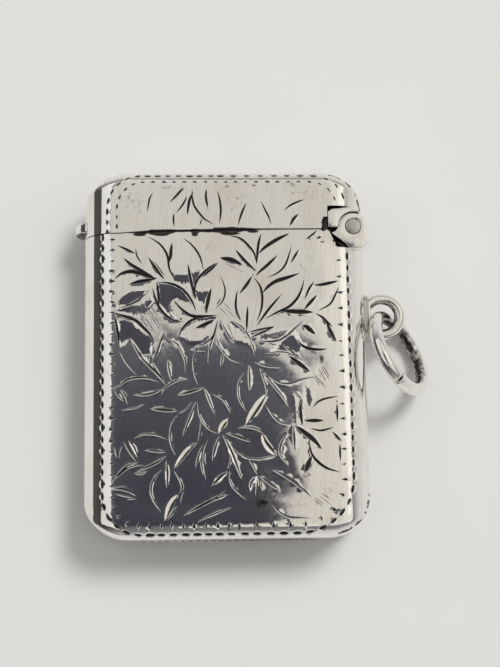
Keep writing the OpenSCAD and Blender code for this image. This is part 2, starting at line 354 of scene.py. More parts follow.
class Finishes:
    """The case's finishes, each made once."""

    SILVER = grey(0.93, 0.915, 0.885)
    TARNISH = grey(0.62, 0.56, 0.48)

    def __init__(self) -> None:
        """Make the materials of every slot."""
        self.engraved = MetalFinish("engraved_silver", self.SILVER, self.TARNISH).material()
        self.plain = MetalFinish("plain_silver", self.SILVER, self.TARNISH, smooth=0.06,
                                 rough=0.16, scratch=0.0008).material()
        # Darker grey: the pin's own tone, and painted shade on the seat's walls.
        self.dull = MetalFinish("dull_and_shaded_silver", grey(0.62, 0.60, 0.57), grey(0.2, 0.17, 0.14), cloud=0.8,
                                smooth=0.16, rough=0.34, scratch=0.001).material()
        self.lining = MetalFinish("lining_silver", grey(0.7, 0.67, 0.62), grey(0.34, 0.28, 0.22), cloud=0.7,
                                  smooth=0.22, rough=0.42, worked=False).material()
        # Dark: part oxide, part painted shade where the collar shows through the gap at the mouth.
        self.inner = MetalFinish("inner_silver", grey(0.32, 0.30, 0.27), grey(0.1, 0.085, 0.07),
                                 cloud=0.8, smooth=0.3, rough=0.5).material()
        # Near black: painted shade in the voids of the hinge recesses.
        self.painted_shade = MetalFinish("painted_shade_silver", grey(0.09, 0.085, 0.08), grey(0.03, 0.026, 0.024),
                                 cloud=0.8, smooth=0.35, rough=0.55).material()
        self.striker = MetalFinish("striker_silver", grey(0.8, 0.77, 0.72), grey(0.3, 0.24, 0.2),
                                   cloud=0.7, smooth=0.25, rough=0.45).material()
        self.steel = MetalFinish("spring_steel", grey(0.36, 0.36, 0.38), grey(0.16, 0.11, 0.08),
                                 cloud=0.7, smooth=0.3, rough=0.5, scratch_turns=(0.0,)).material()


@dataclass(frozen=True)
class Place:
    """Where a flat outline stands in space: its origin and its three axes."""

    origin: Point3
    right: Point3 = (1.0, 0.0, 0.0)
    up: Point3 = (0.0, 1.0, 0.0)
    out: Point3 = (0.0, 0.0, 1.0)

    def lift(self, flat: np.ndarray, height: float) -> np.ndarray:
        """Points of the outline in space at a height along the third axis."""
        axes = np.array([self.right, self.up])
        return np.array(self.origin) + flat @ axes + height * np.array(self.out)


def unit(rows: np.ndarray) -> np.ndarray:
    """Vectors scaled to length 1."""
    return rows / np.linalg.norm(rows, axis=1, keepdims=True)


def leftward(runs: np.ndarray) -> np.ndarray:
    """Unit vectors to the left of some runs on the plane."""
    return unit(np.stack([-runs[:, 1], runs[:, 0]], axis=1))


def neighbours(count: int, closed: bool = True) -> list[tuple[int, int]]:
    """Pairs of neighbours in a row of points, the last and the first too where it closes."""
    return [(i, (i + 1) % count) for i in range(count if closed else count - 1)]


def arc(radius: float, start: float, end: float, steps: int, centre: Point2 = (0.0, 0.0)) -> list[Point2]:
    """Points on an arc.

    Args:
        radius: Radius of the arc.
        start: First angle in degrees.
        end: Last angle in degrees.
        steps: Number of spans.
        centre: Centre of the arc.

    Returns:
        The points, both ends among them.
    """
    turns = np.radians(np.linspace(start, end, steps + 1))
    return [(centre[0] + radius * math.cos(t), centre[1] + radius * math.sin(t)) for t in turns]


def rounded(half_l: float, half_w: float, radius: float, steps: int) -> list[Point2]:
    """Outline of a rectangle with round corners, counterclockwise.

    Args:
        half_l: Half its length, along the first axis.
        half_w: Half its width.
        radius: Radius of its corners.
        steps: Number of spans in a corner.

    Returns:
        The points.
    """
    x = half_l - radius
    y = half_w - radius
    outline = []
    for turn, centre in ((0, (x, y)), (90, (-x, y)), (180, (-x, -y)), (270, (x, -y))):
        outline += arc(radius, turn, turn + 90, steps, centre)
    return outline


def drawn_in(outline: np.ndarray, inset: float) -> np.ndarray:
    """Outline moved inwards by an even distance.

    Args:
        outline: Closed outline, counterclockwise.
        inset: Distance to move it.

    Returns:
        The moved outline, point for point.
    """
    before = leftward(outline - np.roll(outline, 1, axis=0))
    after = leftward(np.roll(outline, -1, axis=0) - outline)
    middle = unit(before + after)
    stretch = np.clip((middle * before).sum(axis=1, keepdims=True), CORNER_LIMIT, 1.0)
    return outline + inset * middle / stretch


class Sketch:
    """Points and faces of one piece, gathered in millimetres."""

    ROUND_STEPS = 4
    HOLE_STEPS = 48
    WIRE_STEPS = 40
    MERGE = 1e-7

    def __init__(self) -> None:
        """Start with no points."""
        self.points: list[Point3] = []
        self.faces: list[list[int]] = []

    def add_points(self, points: np.ndarray) -> list[int]:
        """Add points.

        Args:
            points: Their places.

        Returns:
            Their numbers.
        """
        first = len(self.points)
        self.points.extend(tuple(map(float, p)) for p in points)
        return list(range(first, len(self.points)))

    def band(self, low: list[int], high: list[int], closed: bool = True) -> None:
        """Join two rings of points with four sided faces.

        Args:
            low: First ring.
            high: Second ring, as long as the first.
            closed: Whether the rings close on themselves.
        """
        for i, j in neighbours(len(low), closed):
            self.faces.append([low[i], low[j], high[j], high[i]])

    def cap(self, rim: list[int], flat: np.ndarray, hole: list[int], hole_flat: np.ndarray) -> None:
        """Fill an outline, less a round hole, with triangles.

        Args:
            rim: Points of the outline.
            flat: The same points on the plane.
            hole: Points of the hole's edge, or none.
            hole_flat: The same points on the plane.
        """
        flats = list(flat) + list(hole_flat)
        numbers = rim + hole
        edges = neighbours(len(rim))
        edges += [(len(rim) + i, len(rim) + j) for i, j in neighbours(len(hole))]
        made = delaunay_2d_cdt([Vector(p) for p in flats], edges, [], FILL_INSIDE, self.MERGE)
        spots, _, faces, origins = made[:4]
        hole_r = np.linalg.norm(hole_flat, axis=1).min() if hole else 0.0
        least = hole_r * math.cos(math.pi / self.HOLE_STEPS)
        for face in faces:
            centre = sum((spots[i] for i in face), Vector((0.0, 0.0))) / len(face)
            if centre.length > least:
                self.faces.append([numbers[origins[i][0]] for i in face])

    def prism(self, outline: list[Point2], low: float, high: float, ease: float,
              place: Place, hole_r: float = 0.0) -> None:
        """Add a block with eased edges over an outline.

        Args:
            outline: Closed outline, counterclockwise.
            low: Height where the block starts.
            high: Height where it ends.
            ease: Radius of its rounded edges.
            place: Where the outline stands.
            hole_r: Radius of a hole about the outline's origin, 0 for none.
        """
        flat = np.array(outline)
        turns = np.linspace(0.0, math.pi / 2, self.ROUND_STEPS + 1)
        insets = ease * (1 - np.sin(turns))
        rises = ease * (1 - np.cos(turns))
        profile = list(zip(insets, low + rises)) + list(zip(insets[::-1], (high - rises)[::-1]))
        rings = []
        holes = []
        for inset, height in profile:
            edge = drawn_in(flat, inset)
            rings.append((self.add_points(place.lift(edge, height)), edge))
            ring = np.zeros((0, 2))
            if hole_r:
                ring = np.array(arc(hole_r + inset, 0.0, 360.0, self.HOLE_STEPS)[:-1])
            holes.append((self.add_points(place.lift(ring, height)), ring))
        for below, above in zip(rings, rings[1:]):
            self.band(below[0], above[0])
        for below, above in zip(holes, holes[1:]):
            self.band(above[0], below[0])
        for end in (0, -1):
            self.cap(rings[end][0], rings[end][1], holes[end][0], holes[end][1])

    def tube(self, path: np.ndarray, normal: Point3, radius: float, ease: float) -> None:
        """Add a round wire along a flat path.

        Args:
            path: Points of the wire's centreline.
            normal: Normal of the plane that the path lies in.
            radius: Radius of the wire.
            ease: Radius of the rounded edges at its ends.
        """
        axis = np.array(normal) / np.linalg.norm(normal)
        ahead = unit(np.gradient(path, axis=0))
        stations = [(p, t, radius) for p, t in zip(path, ahead)]
        for turn in np.linspace(0.0, math.pi / 2, self.ROUND_STEPS + 1)[1:]:
            slim = radius - ease * (1 - math.cos(turn))
            reach = ease * math.sin(turn)
            stations.insert(0, (path[0] - ahead[0] * reach, ahead[0], slim))
            stations.append((path[-1] + ahead[-1] * reach, ahead[-1], slim))
        round_turn = np.linspace(0.0, 2 * math.pi, self.WIRE_STEPS, endpoint=False)[:, None]
        rings = []
        for point, forward, size in stations:
            across = np.cross(forward, axis)
            ring = point + size * (np.cos(round_turn) * across + np.sin(round_turn) * axis)
            rings.append(self.add_points(ring))
        for first, second in zip(rings, rings[1:]):
            self.band(first, second)
        self.faces.append(rings[0][::-1])
        self.faces.append(rings[-1])

    def piece(self, name: str, sharp: float = 40.0) -> bpy.types.Object:
        """Make the sketch into an object of the scene.

        Args:
            name: Name of the piece.
            sharp: Angle in degrees above which an edge stays crisp.

        Returns:
            The object.
        """
        mesh = bpy.data.meshes.new(name)
        mesh.from_pydata([Vector(p) * MM for p in self.points], [], self.faces)
        work = bmesh.new()
        work.from_mesh(mesh)
        bmesh.ops.recalc_face_normals(work, faces=work.faces)
        for face in work.faces:
            face.smooth = True
        for edge in work.edges:
            edge.smooth = not edge.is_boundary and edge.calc_face_angle(0.0) < math.radians(sharp)
        work.to_mesh(mesh)
        work.free()
        piece = bpy.data.objects.new(name, mesh)
        bpy.context.scene.collection.objects.link(piece)
        return piece


def settle(piece: bpy.types.Object, body: Body, material: bpy.types.Material, node: str) -> None:
    """Dress a piece, let it ride on its body and stand it in for its node.

    Args:
        piece: The piece.
        body: Body that carries it.
        material: Its finish.
        node: CAD node that it stands for.
    """
    piece.data.materials.clear()
    piece.data.materials.append(material)
    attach(piece, body.value)
    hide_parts(node)
    LOG.info("%s stands for %s on %s", piece.name, node, body.value)


def soil(piece: bpy.types.Object, kind: Stain, levels: np.ndarray) -> None:
    """Write how dirty a piece is at each of its points.

    Args:
        piece: The piece.
        kind: Kind of the dirt.
        levels: A level from 0 to 1 for each point.
    """
    layer = piece.data.attributes.new(kind.value, "FLOAT", "POINT")
    layer.data.foreach_set("value", levels.astype(np.float32))


@dataclass(frozen=True)
class Cut:
    """Engraver's stroke: a tapered V groove along a smooth line through a few points."""

    TAPER = 0.75
    LEAST = 0.02

    width: float
    points: tuple[Point2, ...]
    lean: float = 0.0
    blunt: bool = False
    shade: float = 1.0
    brim: float = 0.0
    # The flag below thins a stroke's soot and moves its core onto the groove wall away from the lamps, as
    # painted shade.
    shade_sided: bool = False

    def line(self, step: float = 0.45) -> tuple[np.ndarray, np.ndarray]:
        """Centreline of the stroke and its half width along it.

        Args:
            step: Distance between samples.

        Returns:
            The points and the half widths.
        """
        knots = np.array(self.points)
        if len(knots) == 2:
            knots = np.array([knots[0], knots.mean(axis=0), knots[1]])
        ends = np.vstack([2 * knots[0] - knots[1], knots, 2 * knots[-1] - knots[-2]])
        line = []
        for a, b, c, d in zip(ends, ends[1:], ends[2:], ends[3:]):
            count = max(2, round(float(np.linalg.norm(c - b)) / step))
            for t in np.linspace(0.0, 1.0, count, endpoint=False):
                line.append(0.5 * (2 * b + (c - a) * t + (2 * a - 5 * b + 4 * c - d) * t ** 2
                                   + (3 * b - a - 3 * c + d) * t ** 3))
        line = np.array(line + [knots[-1]])
        along = np.linspace(0.0, 1.0, len(line))
        swell = 1 - along if self.blunt else np.sin(np.pi * along) ** self.TAPER
        return line, np.maximum(swell, self.LEAST) * self.width / 2


def cut(width: float, *points: Point2, lean: float = 0.0) -> Cut:
    """Stroke of a width through points."""
    return Cut(width, points, lean)


LID_CUTS: tuple[Cut, ...] = (
    cut(0.15, (-8.7, 19.6), (-9.1, 19.1), (-9.3, 18.3), (-9.5, 17.0)),
    cut(0.22, (-4.9, 20.2), (-5.4, 19.8), (-6.1, 19.0), (-6.8, 18.3)),
    cut(0.18, (-4.6, 19.2), (-4.9, 18.5), (-5.4, 17.7), (-6.0, 17.0)),
    cut(0.17, (-6.2, 17.0), (-6.3, 16.4), (-6.2, 15.2)),
    cut(0.25, (-3.9, 19.6), (-4.3, 18.7), (-4.5, 17.6), (-4.6, 16.7)),
    cut(0.22, (-3.9, 20.0), (-4.0, 19.2), (-3.8, 18.1), (-3.2, 17.1), (-2.4, 16.2), (-1.3, 15.5)),
    cut(0.25, (-2.2, 20.1), (-2.3, 19.2), (-2.1, 17.6)),
    cut(0.20, (-0.9, 19.9), (-0.6, 18.6), (-0.5, 17.2), (-0.7, 15.6)),
    cut(0.12, (-2.8, 16.3), (-3.1, 15.4)),
    cut(0.20, (2.7, 18.4), (2.2, 17.3), (1.8, 16.2), (1.6, 15.3)),
    cut(0.18, (4.4, 18.6), (4.9, 17.5), (5.4, 16.4), (5.7, 15.4)),
    cut(0.20, (9.9, 18.7), (9.0, 18.4), (8.0, 17.9), (7.2, 17.2)),
    cut(0.28, (9.1, 16.9), (8.4, 16.2), (7.9, 15.2)),
)

UPPER_CUTS: tuple[Cut, ...] = (
    cut(0.20, (-13.2, 13.0), (-12.3, 12.6), (-11.5, 12.2), (-10.9, 11.9)),
    cut(0.14, (-10.9, 12.7), (-10.8, 11.8), (-10.5, 11.2), (-10.1, 10.6)),
    cut(0.20, (-9.5, 14.1), (-8.2, 13.3), (-7.4, 12.4), (-7.0, 11.4), (-6.9, 10.3), (-6.6, 9.4),
        (-6.1, 8.5)),
    cut(0.32, (-6.5, 13.3), (-6.6, 12.3), (-6.7, 11.4), (-6.9, 10.7)),
    cut(0.18, (-5.2, 13.9), (-4.1, 13.0), (-3.3, 11.9), (-2.9, 10.8), (-2.7, 9.7)),
    cut(0.32, (-12.4, 11.4), (-11.5, 10.6), (-10.2, 9.8), (-8.5, 8.8)),
    cut(0.36, (-13.5, 8.7), (-12.7, 9.4), (-11.5, 9.7), (-10.2, 9.4), (-9.2, 9.0), (-8.3, 8.8)),
    cut(0.34, (-11.7, 8.1), (-10.6, 8.4), (-9.4, 8.6), (-8.3, 8.8)),
    cut(0.30, (-9.4, 11.5), (-8.7, 10.4), (-8.0, 9.4), (-7.4, 8.6)),
    cut(0.25, (-8.3, 8.4), (-6.8, 8.2), (-5.6, 7.7), (-4.8, 7.0), (-4.1, 5.9), (-3.6, 4.6)),
    cut(0.24, (-8.4, 8.4), (-8.2, 7.1), (-8.1, 5.5)),
    cut(0.26, (-4.6, 10.7), (-4.4, 9.4), (-4.1, 7.9), (-3.7, 6.2)),
    cut(0.22, (-0.9, 10.8), (-1.9, 10.2), (-2.9, 9.3), (-3.6, 8.4), (-3.8, 7.3), (-3.6, 6.0)),
    cut(0.22, (-0.9, 10.7), (-1.8, 9.9), (-3.0, 8.9)),
    cut(0.10, (-13.2, 5.5), (-12.6, 6.4), (-11.3, 7.1), (-9.4, 7.3)),
    cut(0.16, (-12.9, 5.2), (-11.6, 5.6), (-10.4, 6.3), (-9.4, 7.2)),
    cut(0.26, (-8.9, 7.8), (-8.6, 6.5), (-8.1, 5.3), (-7.4, 4.4), (-6.5, 3.7), (-5.1, 3.4)),
    cut(0.28, (-6.3, 6.2), (-5.7, 5.3), (-4.9, 4.6), (-4.0, 4.1), (-2.5, 4.1), (-1.0, 4.2)),
    cut(0.40, (-1.8, 7.6), (-2.2, 6.0), (-2.5, 4.4)),
    cut(0.30, (-13.5, 4.6), (-12.3, 4.2), (-11.0, 3.7), (-10.0, 2.8), (-9.2, 1.9), (-8.6, 1.0)),
    cut(0.22, (-13.4, 4.3), (-13.2, 3.0), (-13.0, 1.7), (-12.9, 0.2)),
    cut(0.22, (-5.9, 1.4), (-5.5, 2.3), (-4.8, 3.2), (-3.8, 3.8), (-2.4, 4.1), (-1.0, 4.2)),
    cut(0.36, (-3.8, 2.6), (-2.8, 3.0), (-1.4, 3.7)),
    cut(0.22, (0.5, 14.1), (1.8, 13.8), (2.8, 12.9), (3.5, 11.9), (3.8, 10.5)),
    cut(0.24, (4.4, 14.4), (4.1, 13.3), (3.9, 11.9), (3.8, 10.5)),
    cut(0.36, (4.0, 11.8), (4.9, 12.7), (6.1, 13.5), (7.1, 14.0), (7.9, 14.4)),
    cut(0.30, (1.2, 12.4), (1.9, 11.5), (2.8, 10.5), (3.8, 9.6)),
    cut(0.28, (3.6, 9.1), (4.5, 9.9), (5.5, 10.8), (6.4, 11.7)),
    cut(0.18, (8.1, 12.9), (7.7, 11.5), (7.2, 10.3), (6.3, 9.4), (4.9, 8.8)),
    cut(0.20, (9.0, 12.4), (8.4, 11.4), (7.9, 10.6)),
    cut(0.50, (-0.6, 11.4), (0.6, 11.1), (1.4, 10.8), (2.1, 10.4)),
    cut(0.26, (3.2, 9.1), (2.6, 8.1), (1.6, 6.8)),
    cut(0.20, (1.4, 7.4), (1.2, 6.2), (1.2, 4.9), (1.8, 3.4)),
    cut(0.22, (3.3, 9.0), (4.1, 7.9), (4.4, 6.6), (4.3, 5.2), (4.0, 4.2), (3.6, 3.3)),
    cut(0.36, (4.4, 6.9), (5.2, 7.8), (6.1, 8.4), (7.4, 8.8), (9.1, 9.4)),
    cut(0.22, (6.8, 6.8), (5.9, 5.8), (4.9, 4.6), (3.6, 2.8)),
    cut(0.24, (9.6, 8.8), (9.2, 7.4), (8.6, 6.2), (7.6, 5.2), (6.3, 4.6), (4.6, 3.7)),
    cut(0.20, (10.8, 8.4), (10.1, 7.4), (9.5, 6.0)),
    cut(0.28, (11.1, 6.7), (10.2, 5.7), (9.4, 4.8)),
    cut(0.50, (6.7, 4.7), (8.5, 4.6), (10.6, 4.5)),
    cut(0.22, (2.6, 5.4), (2.5, 3.8), (2.4, 2.1)),
    cut(0.14, (-0.7, 9.2), (-0.3, 8.2), (-0.1, 7.2), (-0.4, 6.0), (-1.4, 4.9)),
    cut(0.17, (11.3, 14.8), (10.8, 14.3), (9.8, 13.6)),
    cut(0.28, (13.8, 8.4), (12.5, 8.1), (11.5, 7.9), (10.6, 7.9)),
    cut(0.17, (13.8, 7.8), (13.3, 6.7), (12.6, 5.5), (11.0, 4.6)),
    cut(0.22, (10.7, 4.4), (11.6, 3.9), (12.3, 3.2), (12.9, 2.6)),
    cut(0.36, (12.1, 3.3), (12.6, 2.1), (13.3, 0.8)),
    cut(0.10, (-8.9, 11.2), (-8.0, 10.0), (-7.3, 8.9)),
    cut(0.20, (11.8, 14.0), (11.2, 13.7)),
    cut(0.12, (-0.7, 11.4), (0.2, 10.9)),
    cut(0.10, (-0.6, 6.4), (-1.2, 5.4)),
)

LOWER_CUTS: tuple[Cut, ...] = (
    cut(0.30, (-0.8, 3.7), (-0.1, 2.4), (0.5, 1.3), (0.9, 0.7)),
    cut(0.26, (-1.0, 3.8), (-1.5, 2.0), (-2.0, 0.3), (-2.3, -1.7)),
    cut(0.24, (-1.3, 1.7), (-1.0, 0.6), (-0.3, -0.4), (0.5, -1.2), (1.8, -1.8)),
    cut(0.24, (0.5, 3.6), (1.7, 2.8), (2.6, 1.7), (3.1, 0.4), (3.4, -0.9)),
    cut(0.22, (-4.0, 0.2), (-2.7, 0.7), (-1.8, 1.5), (-1.2, 2.6)),
    cut(0.20, (-0.4, -0.3), (-0.8, -2.1)),
    cut(0.30, (2.7, 1.3), (4.0, 1.9), (5.9, 2.8)),
    cut(0.26, (2.6, 2.1), (4.2, 2.4), (5.9, 2.8)),
    cut(0.26, (3.6, 1.2), (4.7, 0.9), (6.0, 1.0), (7.2, 1.6), (8.2, 2.5), (9.5, 3.6)),
    cut(0.50, (9.1, 2.9), (9.8, 2.6), (10.8, 1.7)),
    cut(0.26, (8.5, 1.4), (8.9, 0.6), (9.7, 0.1), (11.0, -0.1), (12.2, 0.0)),
    cut(0.18, (4.5, -0.6), (5.6, -0.4), (6.9, -0.4), (8.4, -0.8)),
    cut(0.42, (7.4, -0.8), (8.6, -1.7), (10.0, -2.8)),
    cut(0.22, (6.7, 0.6), (7.6, -0.2), (9.2, -1.5)),
    cut(0.26, (3.3, -1.6), (4.6, -2.0), (6.5, -2.3)),
    cut(0.32, (2.6, -1.9), (2.7, -3.5), (2.6, -5.1)),
    cut(0.22, (2.1, -2.8), (1.5, -3.8), (1.3, -4.9), (1.4, -6.0), (1.8, -6.9), (2.3, -7.6)),
    cut(0.22, (3.9, -2.3), (4.3, -3.4), (4.6, -4.5), (4.6, -5.5)),
    cut(0.60, (4.7, -5.4), (3.7, -6.7), (2.7, -8.2), (2.1, -9.2), lean=0.6),
    cut(0.24, (5.1, -3.4), (6.2, -4.1), (7.5, -4.2), (9.0, -3.7), (10.8, -3.4)),
    cut(0.30, (4.1, -2.7), (5.4, -4.2), (6.5, -5.6), (7.3, -7.1)),
    cut(0.24, (4.5, -6.7), (5.5, -8.2), (6.5, -9.0), (7.9, -9.2)),
    cut(0.14, (7.8, -5.0), (8.9, -6.0)),
    cut(0.28, (9.0, -6.2), (8.7, -7.2), (8.8, -8.5), (8.9, -9.4)),
    cut(0.22, (-1.8, -5.4), (-0.6, -6.0), (0.1, -7.1), (0.3, -7.8)),
    cut(0.45, (0.0, -8.4), (-0.6, -9.1), (-1.1, -10.1), lean=0.5),
    cut(0.22, (1.1, -9.5), (2.2, -9.4), (3.3, -9.6), (4.3, -10.2)),
    cut(0.30, (-7.4, 2.5), (-7.9, 1.1), (-8.4, -0.4), (-9.1, -1.7)),
    cut(0.24, (-7.3, 1.5), (-6.0, 0.7), (-5.4, -0.3), (-5.0, -1.4), (-5.0, -2.9)),
    cut(0.34, (-11.6, 1.6), (-11.0, 0.4), (-10.2, -0.9), (-9.1, -2.1), (-8.1, -3.2), (-7.3, -4.3)),
    cut(0.17, (-12.9, 0.0), (-12.0, -1.6), (-10.8, -3.0)),
    cut(0.30, (-7.1, -1.2), (-6.9, -2.5), (-6.6, -3.9)),
    cut(0.28, (-13.7, -4.7), (-12.8, -4.2), (-11.8, -3.5), (-10.3, -3.3), (-9.1, -3.5), (-8.2, -3.9)),
    cut(0.28, (-11.2, -5.4), (-10.0, -5.4), (-8.9, -5.2), (-7.4, -4.6)),
    cut(0.22, (-7.9, -5.4), (-7.2, -4.4), (-6.4, -3.9), (-5.6, -3.6), (-4.6, -3.6)),
    cut(0.28, (-13.5, -4.8), (-12.9, -5.5), (-12.3, -6.2)),
    cut(0.22, (-12.8, -4.7), (-12.1, -5.6), (-11.9, -6.6)),
    cut(0.17, (-12.7, -7.2), (-11.2, -7.0), (-9.8, -6.5)),
    cut(0.42, (-9.2, -7.1), (-7.8, -7.2), (-6.0, -7.4)),
    cut(0.17, (-5.9, -7.7), (-5.1, -7.3), (-4.2, -6.3)),
    cut(0.28, (-3.7, -6.2), (-4.2, -7.5), (-4.9, -9.2), (-5.4, -10.4)),
    cut(0.22, (-3.6, -6.3), (-3.4, -7.7), (-2.9, -8.8), (-2.1, -9.7), (-1.1, -10.2)),
    cut(0.22, (-3.3, -8.6), (-3.2, -9.6), (-3.6, -11.1)),
    cut(0.34, (-6.0, -5.5), (-4.5, -5.1), (-2.8, -4.6)),
    cut(0.30, (-2.8, -4.5), (-2.2, -6.0), (-1.5, -7.9)),
    cut(0.22, (-3.3, 0.3), (-3.9, -0.6), (-4.0, -1.9), (-3.8, -3.4), (-3.5, -4.3)),
    cut(0.18, (10.1, -7.2), (10.9, -6.4), (12.0, -6.0), (13.4, -5.8)),
    cut(0.20, (13.1, -6.6), (13.1, -8.9)),
    cut(0.30, (9.1, -8.7), (10.3, -8.7), (11.5, -8.7)),
    cut(0.18, (9.8, -9.6), (11.1, -9.9), (12.7, -9.5)),
    cut(0.12, (0.0, 3.4), (0.4, 2.4), (0.7, 1.4)),
    cut(0.15, (-4.5, 0.0), (-2.5, -0.2)),
    cut(0.15, (-9.1, -0.3), (-9.3, -1.8)),
    cut(0.15, (-8.9, -1.2), (-8.8, -2.0), (-8.3, -2.8), (-7.4, -3.9)),
    cut(0.24, (-5.9, -7.8), (-6.5, -8.6), (-6.8, -9.8), (-6.8, -11.0), (-6.5, -12.1), (-6.2, -12.7)),
    cut(0.45, (-3.6, -11.1), (-4.7, -12.0), (-5.6, -13.1), (-6.5, -14.3), lean=0.4),
    cut(0.24, (-2.4, -10.8), (-2.8, -12.2), (-2.9, -13.6), (-2.7, -15.6)),
    cut(0.26, (-3.0, -11.4), (-3.5, -12.8), (-3.9, -14.2)),
    cut(0.16, (-3.3, -13.2), (-3.0, -15.1)),
    cut(0.22, (-11.2, -10.6), (-9.9, -10.1), (-8.5, -10.2), (-7.2, -10.8)),
    cut(0.36, (-11.8, -10.8), (-11.1, -11.7), (-10.7, -12.9)),
    cut(0.17, (-12.4, -10.9), (-11.6, -12.3), (-10.8, -13.4)),
    cut(0.22, (-13.4, -11.6), (-13.1, -12.9)),
    cut(0.17, (-12.5, -11.4), (-12.9, -13.0)),
    cut(0.28, (-9.9, -12.0), (-8.7, -12.1), (-7.4, -12.3)),
    cut(0.28, (-7.3, -12.7), (-8.3, -13.4), (-9.6, -14.0), (-11.0, -14.6)),
    cut(0.22, (-9.6, -14.5), (-10.3, -14.8), (-11.2, -14.7)),
    cut(0.22, (-13.7, -15.5), (-12.7, -14.5), (-11.7, -13.7), (-10.5, -13.4)),
    cut(0.36, (-13.8, -16.6), (-12.6, -16.5), (-11.5, -16.9), (-10.9, -17.4)),
    cut(0.17, (-13.4, -17.1), (-11.2, -17.6)),
    cut(0.26, (-7.8, -14.3), (-8.6, -15.1), (-9.1, -16.2), (-9.1, -17.2), (-8.7, -18.2), (-8.0, -19.3)),
    cut(0.36, (-7.3, -13.2), (-7.2, -14.8), (-7.3, -16.5)),
    cut(0.24, (-6.5, -14.4), (-5.7, -15.6), (-5.5, -16.6), (-5.9, -17.2)),
    cut(0.55, (-5.9, -17.2), (-6.7, -18.2), (-7.2, -19.3), (-7.5, -20.2), lean=0.5),
    cut(0.17, (-5.3, -16.9), (-5.7, -18.3)),
    cut(0.22, (-6.1, -18.6), (-7.3, -20.3)),
    cut(0.26, (-5.4, -19.8), (-4.2, -19.1), (-2.7, -18.3), (-1.2, -17.5), (-0.4, -16.9)),
    cut(0.22, (-3.8, -20.6), (-2.9, -20.1), (-1.5, -19.5), (0.3, -18.9)),
    cut(0.42, (-0.7, -10.2), (0.0, -11.4), (0.6, -12.8), (1.1, -14.2), (1.5, -15.6)),
    cut(0.32, (-1.0, -10.4), (-1.5, -11.8), (-1.9, -13.4)),
    cut(0.30, (-0.3, -10.1), (1.1, -10.5), (2.7, -11.2)),
    cut(0.22, (0.7, -11.9), (1.5, -12.7), (2.5, -13.1), (3.6, -13.2), (4.8, -13.0), (6.0, -12.8)),
    cut(0.24, (2.4, -13.2), (3.0, -14.1), (3.4, -15.1)),
    cut(0.55, (3.4, -15.2), (2.8, -16.0), (2.5, -17.0), lean=-0.4),
    cut(0.32, (3.6, -15.2), (4.7, -16.0), (6.0, -17.0)),
    cut(0.16, (3.5, -15.5), (3.1, -17.6)),
    cut(0.50, (4.1, -10.2), (4.3, -11.1), (4.9, -12.0), (5.7, -12.8), lean=0.4),
    cut(0.24, (7.1, -10.2), (6.4, -11.1), (6.1, -12.2), (6.3, -13.0), (7.1, -14.1)),
    cut(0.38, (7.8, -9.2), (7.9, -10.8), (7.9, -12.4)),
    cut(0.50, (8.1, -9.3), (9.1, -10.1), (10.2, -11.0), (11.2, -12.2)),
    cut(0.24, (9.6, -11.0), (9.9, -12.6), (10.6, -13.6), (11.7, -14.4), (13.3, -14.9)),
    cut(0.55, (9.9, -12.9), (9.5, -13.8), (9.1, -14.9)),
    cut(0.34, (5.1, -14.5), (6.2, -15.0), (7.5, -15.8), (8.6, -16.7), (9.8, -17.9)),
    cut(0.24, (5.0, -18.6), (6.0, -19.6), (7.0, -20.1), (8.3, -20.2), (9.8, -20.3)),
    cut(0.24, (0.1, -14.4), (0.2, -15.8), (0.8, -16.8), (2.1, -18.1)),
    cut(0.20, (0.2, -12.5), (0.3, -13.5), (-0.2, -14.4)),
    cut(0.45, (-0.1, -14.6), (-1.1, -15.4), (-2.0, -16.3)),
    cut(0.20, (-2.0, -18.1), (-0.2, -17.3)),
    cut(0.20, (12.4, -10.0), (13.6, -11.3)),
    cut(0.18, (13.3, -11.4), (13.3, -13.6)),
    cut(0.20, (6.5, -11.5), (6.4, -12.6)),
    cut(0.15, (3.8, -15.6), (3.9, -17.0)),
    cut(0.20, (-13.8, -15.9), (-12.9, -14.9), (-11.9, -14.1), (-10.8, -13.8), (-9.8, -13.8)),
    cut(0.12, (-12.0, -17.8), (-10.9, -17.7)),
    cut(0.12, (-4.9, -19.7), (-3.4, -18.8), (-1.5, -17.9), (0.1, -17.3)),
)


